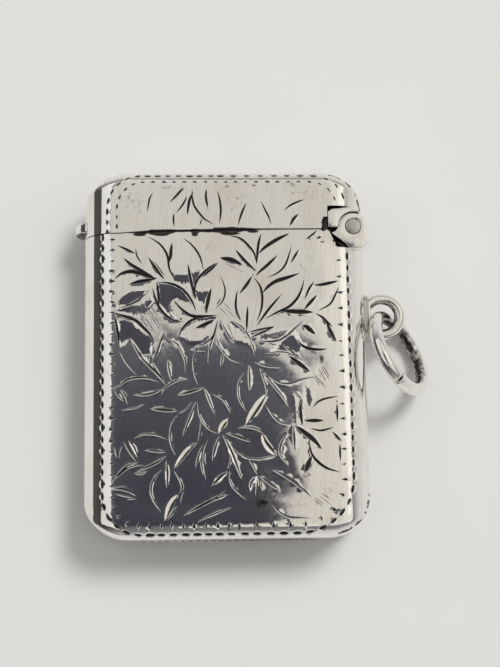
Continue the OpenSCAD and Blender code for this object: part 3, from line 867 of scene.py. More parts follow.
@dataclass(frozen=True)
class Row:
    """Row of border cuts along a rectangle with round corners."""

    CORNER_STEPS = 16
    SIZE_RANGE = (0.85, 1.15)
    PITCH_RANGE = (0.92, 1.08)

    left: float
    right: float
    low: float
    high: float
    corners: tuple[float, float, float, float]
    pitch_left: float
    pitch_right: float
    length: float
    width: float
    nick: float = 0.0

    def path(self) -> np.ndarray:
        """Line of the row.

        Returns:
            Its points, closed, counterclockwise from the right side.
        """
        ends = ((self.right, self.high, -1, -1), (self.left, self.high, 1, -1),
                (self.left, self.low, 1, 1), (self.right, self.low, -1, 1))
        line: list[Point2] = []
        for k, (x, y, inward_x, inward_y) in enumerate(ends):
            r = self.corners[k]
            line += arc(r, 90 * k, 90 * k + 90, self.CORNER_STEPS, (x + inward_x * r, y + inward_y * r))
        return np.array(line + line[:1])

    def cuts(self, seed: int) -> list[Cut]:
        """Lay the row's cuts out: dashes along it, or nicks that point to the panel.

        Args:
            seed: Seed of the hand's small unevenness.

        Returns:
            The cuts.
        """
        hand = random.Random(seed)
        line = self.path()
        runs = np.concatenate([[0.0], np.cumsum(np.linalg.norm(np.diff(line, axis=0), axis=1))])
        made = []
        at = 0.0
        while at < runs[-1] - self.length:
            size = hand.uniform(*self.SIZE_RANGE)
            spots = at + np.array([-0.5, 0.0, 0.5]) * self.length * size
            points = np.stack([np.interp(spots % runs[-1], runs, line[:, k]) for k in (0, 1)], axis=1)
            if self.nick:
                ahead = points[2] - points[0]
                inward = np.array([-ahead[1], ahead[0]]) / np.linalg.norm(ahead)
                tip = points[1] + inward * self.nick * size
                made.append(Cut(self.width * size, (tuple(points[1]), tuple(tip)), blunt=True))
            else:
                made.append(Cut(self.width * size, tuple(map(tuple, points))))
            pitch = self.pitch_left if points[1][0] < 0 else self.pitch_right
            at += pitch * hand.uniform(*self.PITCH_RANGE)
        return made


@dataclass(frozen=True)
class Scuff:
    """Patch of fine scratches that run one way."""

    SHIFT_RANGE = (-0.4, 0.4)
    REACH_RANGE = (0.25, 0.5)

    centre: Point2
    turn: float
    length: float
    spread: float
    count: int
    width: float = 0.07
    shade: float = 0.5

    def cuts(self, seed: int) -> list[Cut]:
        """Lay the scratches out.

        Args:
            seed: Seed of their unevenness.

        Returns:
            The scratches as shallow cuts.
        """
        hand = random.Random(seed)
        along = np.array([math.cos(math.radians(self.turn)), math.sin(math.radians(self.turn))])
        across = np.array([-along[1], along[0]])
        made = []
        for _ in range(self.count):
            middle = np.array(self.centre) + across * hand.uniform(-self.spread, self.spread)
            middle = middle + along * hand.uniform(*self.SHIFT_RANGE) * self.length
            reach = along * self.length * hand.uniform(*self.REACH_RANGE)
            made.append(Cut(self.width, (tuple(middle - reach), tuple(middle + reach)), shade=self.shade))
        return made


@dataclass(frozen=True)
class Engraving:
    """Cuts of one panel and the relief that they leave in the sheet."""

    FAR = 9.0
    SHADE_POWER = 3
    ASIDE_RANGE = (0.1, 0.5)
    SAG_SPAN = 3
    LEAN_SPREAD = 0.4

    cuts: tuple[Cut, ...]
    steep: float = 0.62
    shallow: float = 0.22
    narrow: float = 0.15
    lip: float = 0.09
    lip_rise: float = 0.008
    sag: float = 0.002
    sag_reach: float = 0.55
    edge: float = 0.01
    # The fields from here to lamp_side place painted shade: how far a flagged stroke's soot core moves
    # toward the groove wall away from the lamps.
    aside: float = 0.6
    aside_fall: float = 1.5
    lamp_side: Point2 = (0.7, 0.7)
    shade_sided_soot: float = 0.78
    leaning_soot: float = 0.62

    def depth(self, half: np.ndarray) -> np.ndarray:
        """Depth of a groove by its half width."""
        return self.steep * np.minimum(half, self.narrow) + self.shallow * np.maximum(half - self.narrow, 0)

    def relief(self, spots: np.ndarray) -> tuple[np.ndarray, np.ndarray, np.ndarray]:
        """Relief of the panel at some spots.

        Args:
            spots: Places on the panel.

        Returns:
            Heights, patina with its painted shade from 0 to 1, and distance outside the nearest groove.
        """
        groove = np.zeros(len(spots))
        lips = np.zeros(len(spots))
        patina_and_shade = np.zeros(len(spots))
        outside = np.full(len(spots), self.FAR)
        for stroke in self.cuts:
            line, half = stroke.line()
            margin = half.max() + self.SAG_SPAN * self.sag_reach
            near = (spots > line.min(axis=0) - margin) & (spots < line.max(axis=0) + margin)
            chosen = np.flatnonzero(near.all(axis=1))
            if not len(chosen):
                continue
            offset, width, facing = self.across(spots[chosen], line, half)
            share = np.clip(offset / width, -1.0, 1.0)
            lean = stroke.lean
            fall = np.where(share > lean, (share - lean) / (1 - lean), (lean - share) / (1 + lean))
            deep = self.depth(width) * (1 - fall) * stroke.shade ** self.SHADE_POWER
            beyond = np.abs(offset) - width
            groove[chosen] = np.maximum(groove[chosen], np.where(beyond < 0, deep, 0.0))
            # Painted shade: on flagged strokes the soot core moves onto the groove wall that faces away
            # from the lamps.
            core = lean
            if stroke.shade_sided and not lean:
                core = facing * np.clip(self.aside - self.aside_fall * width, *self.ASIDE_RANGE)
            spread = np.abs(share - core) / (1 - abs(lean) * self.LEAN_SPREAD)
            dark = stroke.shade * (1 - (1 - stroke.brim) * spread)
            if stroke.shade_sided:
                dark = dark * (self.leaning_soot if lean else self.shade_sided_soot)
            dark = np.where(beyond < self.edge, dark, 0.0)
            patina_and_shade[chosen] = np.maximum(patina_and_shade[chosen], dark)
            grow = np.clip(width / self.narrow, 0.0, 1.0)
            lip = grow * self.lip_rise * np.clip(1 - beyond / self.lip, 0, 1)
            lips[chosen] = np.maximum(lips[chosen], lip)
            outside[chosen] = np.minimum(outside[chosen], beyond)
        sag = self.sag * np.exp(-(np.maximum(outside, 0) / self.sag_reach) ** 2)
        height = np.where(groove > 0, -groove, lips) - sag
        return height, np.clip(patina_and_shade, 0, 1), outside

    def across(self, spots: np.ndarray, line: np.ndarray,
               half: np.ndarray) -> tuple[np.ndarray, np.ndarray, np.ndarray]:
        """Signed distance from a stroke's line, left of it positive, and what the stroke is there.

        Args:
            spots: Places on the panel.
            line: The stroke's centreline.
            half: Half widths along it.

        Returns:
            Signed distances, half widths, and how far the stroke's left side lies toward the lamps.
        """
        start = line[:-1]
        run = line[1:] - start
        rel = spots[:, None, :] - start[None]
        share = np.clip((rel * run).sum(axis=2) / (run ** 2).sum(axis=1), 0, 1)
        gap = rel - share[..., None] * run
        away = np.linalg.norm(gap, axis=2)
        pick = away.argmin(axis=1)
        rows = np.arange(len(spots))
        cross = run[pick, 0] * rel[rows, pick, 1] - run[pick, 1] * rel[rows, pick, 0]
        width = half[pick] + (half[pick + 1] - half[pick]) * share[rows, pick]
        facing = (leftward(run) @ np.array(self.lamp_side))[pick]
        return away[rows, pick] * np.where(cross < 0, -1.0, 1.0), width, facing

    def threads(self) -> list[tuple[np.ndarray, bool]]:
        """Lines that the mesh has to follow.

        Returns:
            Lines, each with whether it closes on itself: groove edges, deepest lines and lips.
        """
        made = []
        for stroke in self.cuts:
            line, half = stroke.line()
            left = leftward(np.gradient(line, axis=0))
            for reach in (half, half + self.lip):
                over = line + left * reach[:, None]
                under = line - left * reach[:, None]
                made.append((np.vstack([over, under[::-1]]), True))
            made.append((line + left * (stroke.lean * half)[:, None], False))
        return made


@dataclass(frozen=True)
class Facet:
    """Leaf of the panel that the graver has tilted: its outline and its slopes."""

    slope: Point2
    outline: tuple[Point2, ...]
    soft: float = 0.2

    def height(self, spots: np.ndarray) -> np.ndarray:
        """Height that the tilt adds.

        Args:
            spots: Places on the panel.

        Returns:
            The heights, 0 outside the leaf.
        """
        corners = np.array(self.outline)
        made = np.zeros(len(spots))
        near = np.all((spots > corners.min(axis=0)) & (spots < corners.max(axis=0)), axis=1)
        if not near.any():
            return made
        rel = spots[near][:, None, :] - corners[None]
        run = np.roll(corners, -1, axis=0) - corners
        share = np.clip((rel * run).sum(axis=2) / (run ** 2).sum(axis=1), 0, 1)
        away = np.linalg.norm(rel - share[..., None] * run, axis=2).min(axis=1)
        ends = np.roll(rel, -1, axis=1)
        crossing = (rel[..., 1] > 0) != (ends[..., 1] > 0)
        drop = np.where(crossing, ends[..., 1] - rel[..., 1], 1.0)
        at = rel[..., 0] - rel[..., 1] * (ends[..., 0] - rel[..., 0]) / drop
        inside = (crossing & (at > 0)).sum(axis=1) % 2 == 1
        rise = (spots[near] - corners.mean(axis=0)) @ np.array(self.slope)
        made[near] = np.where(inside, rise * np.clip(away / self.soft, 0, 1), 0.0)
        return made

    def lines(self, step: float = 0.3) -> list[np.ndarray]:
        """Lines that the mesh has to follow.

        Args:
            step: Distance between points.

        Returns:
            The outline, and the line inside it where the full tilt starts.
        """
        corners = np.array(self.outline)
        ends = np.roll(corners, -1, axis=0)
        if (corners[:, 0] * ends[:, 1] - corners[:, 1] * ends[:, 0]).sum() < 0:
            corners = corners[::-1]
            ends = np.roll(corners, -1, axis=0)
        spans = [np.linspace(a, b, max(2, round(float(np.linalg.norm(b - a)) / step)), endpoint=False)
                 for a, b in zip(corners, ends)]
        ring = np.vstack(spans)
        return [ring, drawn_in(ring, self.soft)]


DIM = (0.0, 0.05)
LEAVES: tuple[Facet, ...] = (
    Facet(DIM, ((-13.4, 5.2), (-12.8, 6.5), (-11.4, 7.3), (-9.3, 7.5), (-10.3, 6.2), (-11.6, 5.4))),
    Facet(DIM, ((-8.3, 8.4), (-6.8, 8.2), (-5.6, 7.7), (-4.7, 6.9), (-4.1, 5.8), (-5.0, 5.9),
                (-5.8, 6.5), (-6.5, 6.2), (-6.8, 5.2), (-6.4, 4.3), (-5.4, 3.6), (-6.6, 3.8),
                (-7.5, 4.6), (-8.2, 5.8))),
    Facet(DIM, ((-6.7, 9.9), (-5.8, 9.6), (-4.6, 9.5), (-3.5, 10.1), (-2.6, 10.4), (-3.3, 8.6),
                (-3.8, 7.6), (-4.4, 7.8), (-5.6, 7.9), (-6.4, 8.4))),
    Facet(DIM, ((-3.9, 7.6), (-2.9, 7.4), (-2.0, 7.7), (-1.9, 6.4), (-2.5, 5.3), (-3.5, 5.7))),
    Facet(DIM, ((-13.1, 3.7), (-12.2, 3.9), (-10.9, 3.3), (-9.8, 2.3), (-8.9, 1.0), (-9.0, -0.6),
                (-10.2, -0.7), (-11.6, 1.4), (-12.8, 0.4))),
    Facet((0.02, 0.02), ((-13.4, 4.8), (-11.6, 5.2), (-10.2, 6.0), (-9.1, 6.9), (-8.6, 6.0),
                         (-9.8, 4.6), (-10.8, 4.0), (-12.2, 4.4))),
    Facet(DIM, ((2.7, 1.4), (4.0, 1.9), (5.8, 2.7), (4.2, 2.5), (2.7, 2.1))),
    Facet(DIM, ((3.6, 1.1), (3.8, 1.6), (5.2, 2.1), (6.6, 2.5), (8.0, 2.6), (7.2, 1.6),
                (6.0, 1.0), (4.7, 0.9))),
    Facet((0.02, 0.03), ((5.4, -0.3), (6.3, 0.9), (7.2, 1.5), (8.2, 2.3), (8.7, 1.2), (9.3, 0.3),
                         (8.3, -0.7), (7.0, -0.4))),
    Facet((0.0, -0.02), ((-5.8, 1.5), (-5.4, 2.3), (-4.7, 3.2), (-3.6, 3.8), (-1.2, 4.0), (-1.7, 1.9),
                         (-3.0, 0.8), (-4.4, 0.6))),
    Facet((0.0, -0.02), ((0.4, 3.5), (1.7, 2.7), (2.6, 1.6), (3.0, 0.4), (1.8, 0.6), (0.9, 0.9))),
    Facet((0.04, 0.0), ((9.2, -4.6), (10.2, -5.0), (10.4, -6.4), (9.8, -7.3), (9.2, -6.2))),
    Facet((-0.03, 0.0), ((8.1, -9.0), (7.7, -5.2), (8.8, -6.2), (8.6, -7.3), (8.8, -9.2))),
)


@dataclass(frozen=True)
class CaseForm:
    """Outer form of the closed case: a tablet with rolled sides, ends and corners."""

    WAVES = ((0.47, 0.31, 0.6, 1.0), (0.23, -0.52, 2.1, 1.0), (0.81, 0.66, 4.0, 0.6))
    PROBE = 0.01

    half_w: float
    half_h: float
    half_t: float
    corner_r: float = 5.4
    side_round: float = 4.2
    end_round: float = 1.9
    wall: float = 0.6
    blend: float = 0.3
    dome: float = 0.05
    buckle: float = 0.008
    striker_half: float = 10.8
    striker_rise: float = 2.2

    def inset(self, spots: np.ndarray) -> np.ndarray:
        """Distance inside the outline.

        Args:
            spots: Places on the panel.

        Returns:
            The distances, negative outside.
        """
        x, y = spots.T
        qx = np.abs(x) - (self.half_w - self.corner_r)
        qy = np.abs(y) - (self.half_h - self.corner_r)
        corner = np.hypot(np.maximum(qx, 0), np.maximum(qy, 0))
        return self.corner_r - corner - np.minimum(np.maximum(qx, qy), 0)

    def roll(self, inset: np.ndarray, radius: float) -> np.ndarray:
        """Height of a rolled edge above the seam, by the distance in from its edge."""
        short = radius - np.clip(inset, 0, radius)
        return self.half_t - radius + np.sqrt(np.maximum(radius ** 2 - short ** 2, 0))

    def rise(self, spots: np.ndarray) -> np.ndarray:
        """Height of the panel above the seam.

        Args:
            spots: Places on the panel.

        Returns:
            The heights.
        """
        x, y = spots.T
        inset = self.inset(spots)
        ends = self.roll(inset, self.end_round)
        sides = self.roll(self.half_w - np.abs(x), self.side_round)
        soft = np.clip(0.5 + (sides - ends) / (2 * self.blend), 0, 1)
        height = sides + (ends - sides) * soft - self.blend * soft * (1 - soft)
        fade = np.clip(inset / self.side_round, 0, 1) ** 2
        waves = sum(high * np.sin(a * x + b * y + start) for a, b, start, high in self.WAVES)
        bow = (x / self.half_w) ** 2 + (y / self.half_h) ** 2
        tilts = sum(leaf.height(spots) for leaf in LEAVES)
        return height + fade * (self.buckle * waves + tilts - self.dome * np.minimum(bow, 1.0))

    def normals(self, spots: np.ndarray) -> np.ndarray:
        """Outward normals of the front panel.

        Args:
            spots: Places on the panel.

        Returns:
            Unit vectors.
        """
        slopes = [(self.rise(spots + step) - self.rise(spots - step)) / (2 * self.PROBE)
                  for step in self.PROBE * np.eye(2)]
        return unit(np.stack([-slopes[0], -slopes[1], np.ones(len(spots))], axis=1))

    def outline(self, step: float) -> tuple[np.ndarray, np.ndarray]:
        """Outline of the case, counterclockwise from the middle of the right side.

        Args:
            step: Distance between points.

        Returns:
            Points and inward normals.
        """
        r = self.corner_r
        w = self.half_w - r
        h = self.half_h - r
        rungs = round(h / step)
        spans = round(w / step)
        bends = round(r * math.pi / 2 / step)
        points = [(self.half_w, y, 180.0) for y in np.linspace(0, h, rungs, endpoint=False)]
        points += [(w + r * math.cos(t), h + r * math.sin(t), math.degrees(t) + 180)
                   for t in np.linspace(0, math.pi / 2, bends, endpoint=False)]
        points += [(x, self.half_h, 270.0) for x in np.linspace(w, 0, spans, endpoint=False)]
        upper = np.array(points)
        left = np.column_stack([-upper[::-1, 0], upper[::-1, 1], 180 - upper[::-1, 2]])
        middle = np.array([[0.0, self.half_h, 270.0]])
        half = np.vstack([upper, middle, left])
        lower = np.column_stack([half[::-1, 0], -half[::-1, 1], -half[::-1, 2]])[1:-1]
        full = np.vstack([half, lower])
        turns = np.radians(full[:, 2])
        return full[:, :2], np.stack([np.cos(turns), np.sin(turns)], axis=1)


@dataclass(frozen=True)
class Notches:
    """Corners cut out of the shells for the hinge."""

    body_x: float
    body_y: float
    lid_x: float
    lid_y: float
    body_slant: float = 0.85
    slot_w: float = 0.55
    slot_top: float = 16.5

    def body_limit(self, y: np.ndarray, top: float) -> np.ndarray:
        """Right limit of the body's panel beside its notch, by height."""
        return self.body_x + self.body_slant * np.clip((top - y) / (top - self.body_y), 0, 1)

    def lid_limit(self, y: np.ndarray) -> np.ndarray:
        """Right limit of the lid's panel beside its notch, by height."""
        return np.where(y < self.slot_top, self.lid_x, self.lid_x + self.slot_w)


@dataclass(frozen=True)
class Mouth:
    """Edges where the lid meets the body: a line that sinks to the left, and a worn gap below it."""

    lid_line: tuple[Point2, ...] = ((-18.0, 14.5), (-13.0, 14.55), (-10.5, 14.7), (-6.0, 14.85),
                                    (0.0, 14.95), (4.0, 15.0), (18.0, 15.0))
    gaps: tuple[Point2, ...] = ((-18.0, 0.08), (-12.0, 0.09), (-11.0, 0.16), (-9.4, 0.2), (-9.0, 0.34),
                                (-6.6, 0.32), (-6.0, 0.2), (-4.2, 0.2), (-3.6, 0.4), (-3.0, 0.22),
                                (-1.8, 0.28), (0.3, 0.3), (0.8, 0.5), (1.3, 0.3), (2.4, 0.22),
                                (4.0, 0.16), (7.0, 0.12), (18.0, 0.1))

    def lid_edge(self, x: Values) -> Values:
        """Height of the lid's lower edge."""
        return np.interp(x, *np.array(self.lid_line).T)

    def body_edge(self, x: Values) -> Values:
        """Height of the body's upper edge."""
        return self.lid_edge(x) - self.gap(x)

    def gap(self, x: Values) -> Values:
        """Width of the worn gap."""
        return np.interp(x, *np.array(self.gaps).T)

    def body_top(self, notches: Notches) -> float:
        """Height of the body's upper edge where the notch starts."""
        return float(self.body_edge(notches.body_x))


@dataclass(frozen=True)
class Spot:
    """Dark patch on a panel, tarnish or painted shade: its kind, its centre, its half sizes and how dark it
    is.
    """

    FADE = 1.5

    kind: Stain
    centre: Point2
    reach: Point2
    strength: float

    def level(self, places: np.ndarray) -> np.ndarray:
        """How dark the patch is at some places of the panel."""
        away = np.linalg.norm((places - np.array(self.centre)) / np.array(self.reach), axis=1)
        return self.strength * np.clip(self.FADE - away, 0, 1)


@dataclass
class Shell:
    """One engraved quarter of the case: the front or the back of the body or of the lid."""

    SIDE_STEPS = 6
    SLOT_STEPS = 5
    BODY_LEDGE_STEPS = 8
    LID_LEDGE_STEPS = 10
    SPOT_STEPS = 15
    ROW_PITCH = 0.87
    MERGE = 1e-5
    CREASE = 22.0

    body: Body
    side: Side
    form: CaseForm
    mouth: Mouth
    notches: Notches
    engraving: Engraving
    spots: tuple[Spot, ...] = ()
    rim_inset: float = 0.3
    rim_step: float = 0.4
    grid: float = 0.4
    clear: float = 0.16
    rim_insets: tuple[float, ...] = (0.2, 0.11, 0.045, 0.01, 0.0)
    column_gap: float = 0.05
    thread_clear: float = 0.03
    lip_clear: float = 0.05
    relief_fade: float = 0.15
    slot_lip: float = 0.02
    # The next four fields set the painted shade along the mouth, darker where the gap is wider, and in the
    # notch.
    full_gap: float = 0.35
    least_gap_shade: float = 0.45
    notch_shade: float = 0.8
    gap_shade_reach: float = 0.02
    edge_slack: float = 0.01
    base_slack: float = 0.1

    @property
    def name(self) -> str:
        """Name of the CAD node that this shell stands for."""
        return f"{'body' if self.body is Body.CASE else 'lid'}_{self.side.name.lower()}_shell"

    def edge(self, x: Values) -> Values:
        """Height of this shell's edge at the mouth."""
        return self.mouth.body_edge(x) if self.body is Body.CASE else self.mouth.lid_edge(x)

    def holds(self, spots: np.ndarray, margin: float) -> np.ndarray:
        """Whether spots lie on this shell's panel, a margin in from its edge.

        Args:
            spots: Places on the panel.
            margin: Distance to keep from the edge.

        Returns:
            A truth value for each spot.
        """
        x, y = spots.T
        kept = self.form.inset(spots) > self.rim_inset + margin
        cut = self.notches
        if self.body is Body.CASE:
            notch = (x > cut.body_limit(y, self.mouth.body_top(cut)) - margin) & (y > cut.body_y - margin)
            return kept & (y < self.edge(x) - margin) & ~notch
        notch = (x > cut.lid_limit(y - margin) - margin) & (y < cut.lid_y + margin)
        return kept & (y > self.edge(x) + margin) & ~notch

    def columns(self) -> tuple[np.ndarray, np.ndarray]:
        """Stretch of the case's outline that this shell takes, in order.

        Returns:
            Points and inward normals, from the mouth round to the notch or the other way.
        """
        points, normals = self.form.outline(self.rim_step)
        left_y = self.edge(-self.form.half_w)
        right_y = self.notches.body_y if self.body is Body.CASE else self.notches.lid_y
        limit = np.where(points[:, 0] < 0, left_y, right_y)
        keep = points[:, 1] < limit - self.column_gap
        first = (np.array([-self.form.half_w, left_y]), np.array([1.0, 0.0]))
        last = self.right_end(right_y)
        if self.body is Body.LID:
            keep = points[:, 1] > limit + self.column_gap
            first, last = last, first
        start = int(np.flatnonzero(keep & ~np.roll(keep, 1))[0])
        order = np.roll(np.arange(len(points)), -start)
        order = order[keep[order]]
        return np.vstack([first[0], points[order], last[0]]), np.vstack([first[1], normals[order], last[1]])

    def right_end(self, y: float) -> tuple[np.ndarray, np.ndarray]:
        """End of the outline on the hinge's side.

        Args:
            y: Height where the outline stops.

        Returns:
            The point and its inward normal.
        """
        over = max(0.0, y - (self.form.half_h - self.form.corner_r))
        turn = math.asin(over / self.form.corner_r)
        x = self.form.half_w - self.form.corner_r * (1 - math.cos(turn))
        return np.array([x, y]), np.array([-math.cos(turn), -math.sin(turn)])

    def open_edge(self, first: np.ndarray, last: np.ndarray) -> list[Point2]:
        """Edge of the panel at the mouth and the notch, from the last column back to the first.

        Args:
            first: Panel point of the first column.
            last: Panel point of the last column.

        Returns:
            The points between them.
        """
        cut = self.notches
        if self.body is Body.CASE:
            top = self.mouth.body_top(cut)
            across = np.arange(cut.body_x - self.rim_step, first[0] + self.rim_step / 2, -self.rim_step)
            ledge = np.linspace(last[0], cut.body_x + cut.body_slant, self.BODY_LEDGE_STEPS)[1:]
            side = np.linspace(cut.body_y, top, self.SIDE_STEPS)[1:]
            return ([(x, cut.body_y) for x in ledge] + list(zip(cut.body_limit(side, top), side))
                    + list(zip(across, self.edge(across))))
        across = np.arange(last[0] + self.rim_step, cut.lid_x - self.rim_step / 2, self.rim_step)
        slot = np.linspace(self.edge(cut.lid_x), cut.slot_top, self.SLOT_STEPS)
        side = np.linspace(cut.slot_top + self.slot_lip, cut.lid_y, self.SIDE_STEPS)
        ledge = np.linspace(cut.lid_x + cut.slot_w, first[0], self.LID_LEDGE_STEPS)[1:-1]
        return (list(zip(across, self.edge(across))) + [(cut.lid_x, y) for y in slot]
                + [(cut.lid_x + cut.slot_w, y) for y in side] + [(x, cut.lid_y) for x in ledge])

    def panel(self) -> tuple[np.ndarray, list[list[int]]]:
        """Flat mesh of the panel that follows every cut.

        Returns:
            Its points and its triangles.
        """
        base, inward = self.columns()
        rim = base + inward * self.rim_inset
        border = np.vstack([rim, np.array(self.open_edge(rim[0], rim[-1]))])
        points = [border]
        edges = neighbours(len(border))
        count = len(border)
        leaf_lines = [(line, True) for leaf in LEAVES for line in leaf.lines()]
        for line, closed in self.engraving.threads() + leaf_lines:
            inside = self.holds(line, self.thread_clear)
            numbers = np.cumsum(inside) - 1 + count
            edges += [(int(numbers[i]), int(numbers[j])) for i, j in neighbours(len(line), closed)
                      if inside[i] and inside[j]]
            points.append(line[inside])
            count += int(inside.sum())
        points.append(self.filling())
        flat = np.vstack(points)
        made = delaunay_2d_cdt([Vector(p) for p in flat], edges, [], FILL_INSIDE, self.MERGE)
        spots, _, faces = made[:3]
        return np.array([tuple(v) for v in spots]), [list(f) for f in faces]

    def filling(self) -> np.ndarray:
        """Even points between the cuts, and closer ones on the tarnish and painted shade patches.

        Returns:
            The points.
        """
        rows = np.arange(-self.form.half_h, self.form.half_h, self.grid * self.ROW_PITCH)
        spots = np.array([(x + (k % 2) * self.grid / 2, y) for k, y in enumerate(rows)
                          for x in np.arange(-self.form.half_w, self.form.half_w, self.grid)])
        steps = np.linspace(-Spot.FADE, Spot.FADE, self.SPOT_STEPS)
        fine = np.stack(np.meshgrid(steps, steps), axis=-1).reshape(-1, 2)
        for spot in self.spots:
            spots = np.vstack([spots, fine * np.array(spot.reach) + np.array(spot.centre)])
        spots = spots[self.holds(spots, self.clear)]
        outside = self.engraving.relief(spots)[2]
        return spots[outside > self.engraving.lip + self.lip_clear]

    def build(self, finish: bpy.types.Material, lining: bpy.types.Material) -> None:
        """Build the shell and stand it in for its CAD node.

        Args:
            finish: Silver of the outside.
            lining: Silver of the inside.
        """
        flat, faces = self.panel()
        height, patina_and_shade, _ = self.engraving.relief(flat)
        fade = np.clip((self.form.inset(flat) - self.rim_inset) / self.relief_fade, 0, 1)
        panel = np.column_stack([flat, self.form.rise(flat)])
        panel += self.form.normals(flat) * (height * fade)[:, None]
        sketch = Sketch()
        sketch.add_points(panel)
        sketch.faces = faces
        self.rim(sketch, flat)
        for i, point in enumerate(sketch.points):
            sketch.points[i] = (point[0], point[1], self.form.half_t + self.side.value * point[2])
        piece = sketch.piece(self.name + "_engraved", sharp=self.CREASE)
        self.paint(piece, self.edge_shade(flat, patina_and_shade))
        thick = piece.modifiers.new("sheet", "SOLIDIFY")
        thick.thickness = self.form.wall * MM
        thick.offset = -1.0
        thick.material_offset = 1
        settle(piece, self.body, finish, self.name)
        piece.data.materials.append(lining)

    def edge_shade(self, flat: np.ndarray, patina_and_shade: np.ndarray) -> np.ndarray:
        """Add painted shade along the mouth, darker where the gap is wider, and in the notch.

        Args:
            flat: The panel's points.
            patina_and_shade: Their patina from the cuts, with its painted shade.

        Returns:
            The patina with the painted shade of both.
        """
        x, y = flat.T
        soot_and_shade = np.clip(self.mouth.gap(x) / self.full_gap, self.least_gap_shade, 1.0)
        patina_and_shade = np.where(np.abs(y - self.edge(x)) < self.gap_shade_reach, soot_and_shade, patina_and_shade)
        unshaded = self.holds(flat, 0.0) | (x < self.notches.lid_x - self.edge_slack)
        return np.where(unshaded, patina_and_shade, self.notch_shade)

    def rim(self, sketch: Sketch, flat: np.ndarray) -> None:
        """Add the steep roll and the wall down to the seam, open at the striker.

        Args:
            sketch: Sketch with the panel's points.
            flat: The panel's points on the plane.
        """
        base, inward = self.columns()
        start = base + inward * self.rim_inset
        ring = [int(np.linalg.norm(flat - p, axis=1).argmin()) for p in start]
        for inset in self.rim_insets:
            spot = base + inward * inset
            lower = sketch.add_points(np.column_stack([spot, self.form.rise(spot)]))
            sketch.band(ring, lower, closed=False)
            ring = lower
        top = self.form.rise(base)
        share = self.form.striker_rise / self.form.rise(np.array([[0.0, -self.form.half_h]]))
        slot = sketch.add_points(np.column_stack([base, top * share]))
        sketch.band(ring, slot, closed=False)
        seam = sketch.add_points(np.column_stack([base, top * 0]))
        by_striker = np.abs(base[:, 0]) < self.form.striker_half + self.edge_slack
        is_open = by_striker & (base[:, 1] < self.base_slack - self.form.half_h)
        for i in range(len(slot) - 1):
            if not (is_open[i] and is_open[i + 1]):
                sketch.faces.append([slot[i], slot[i + 1], seam[i + 1], seam[i]])

    def paint(self, piece: bpy.types.Object, patina_and_shade: np.ndarray) -> None:
        """Write the patina and the tarnish spots on the mesh, with the painted shade that both carry.

        Args:
            piece: The shell.
            patina_and_shade: Patina and painted shade of the panel's points, which come first in the mesh.
        """
        places = np.array([tuple(v.co) for v in piece.data.vertices])[:, :2] / MM
        levels = {kind: np.zeros(len(places)) for kind in (Stain.SOOT_AND_SHADE, Stain.RUST_AND_SHADE)}
        levels[Stain.SOOT_AND_SHADE][:len(patina_and_shade)] = patina_and_shade
        for spot in self.spots:
            levels[spot.kind] = np.maximum(levels[spot.kind], spot.level(places))
        for kind, level in levels.items():
            soil(piece, kind, level)


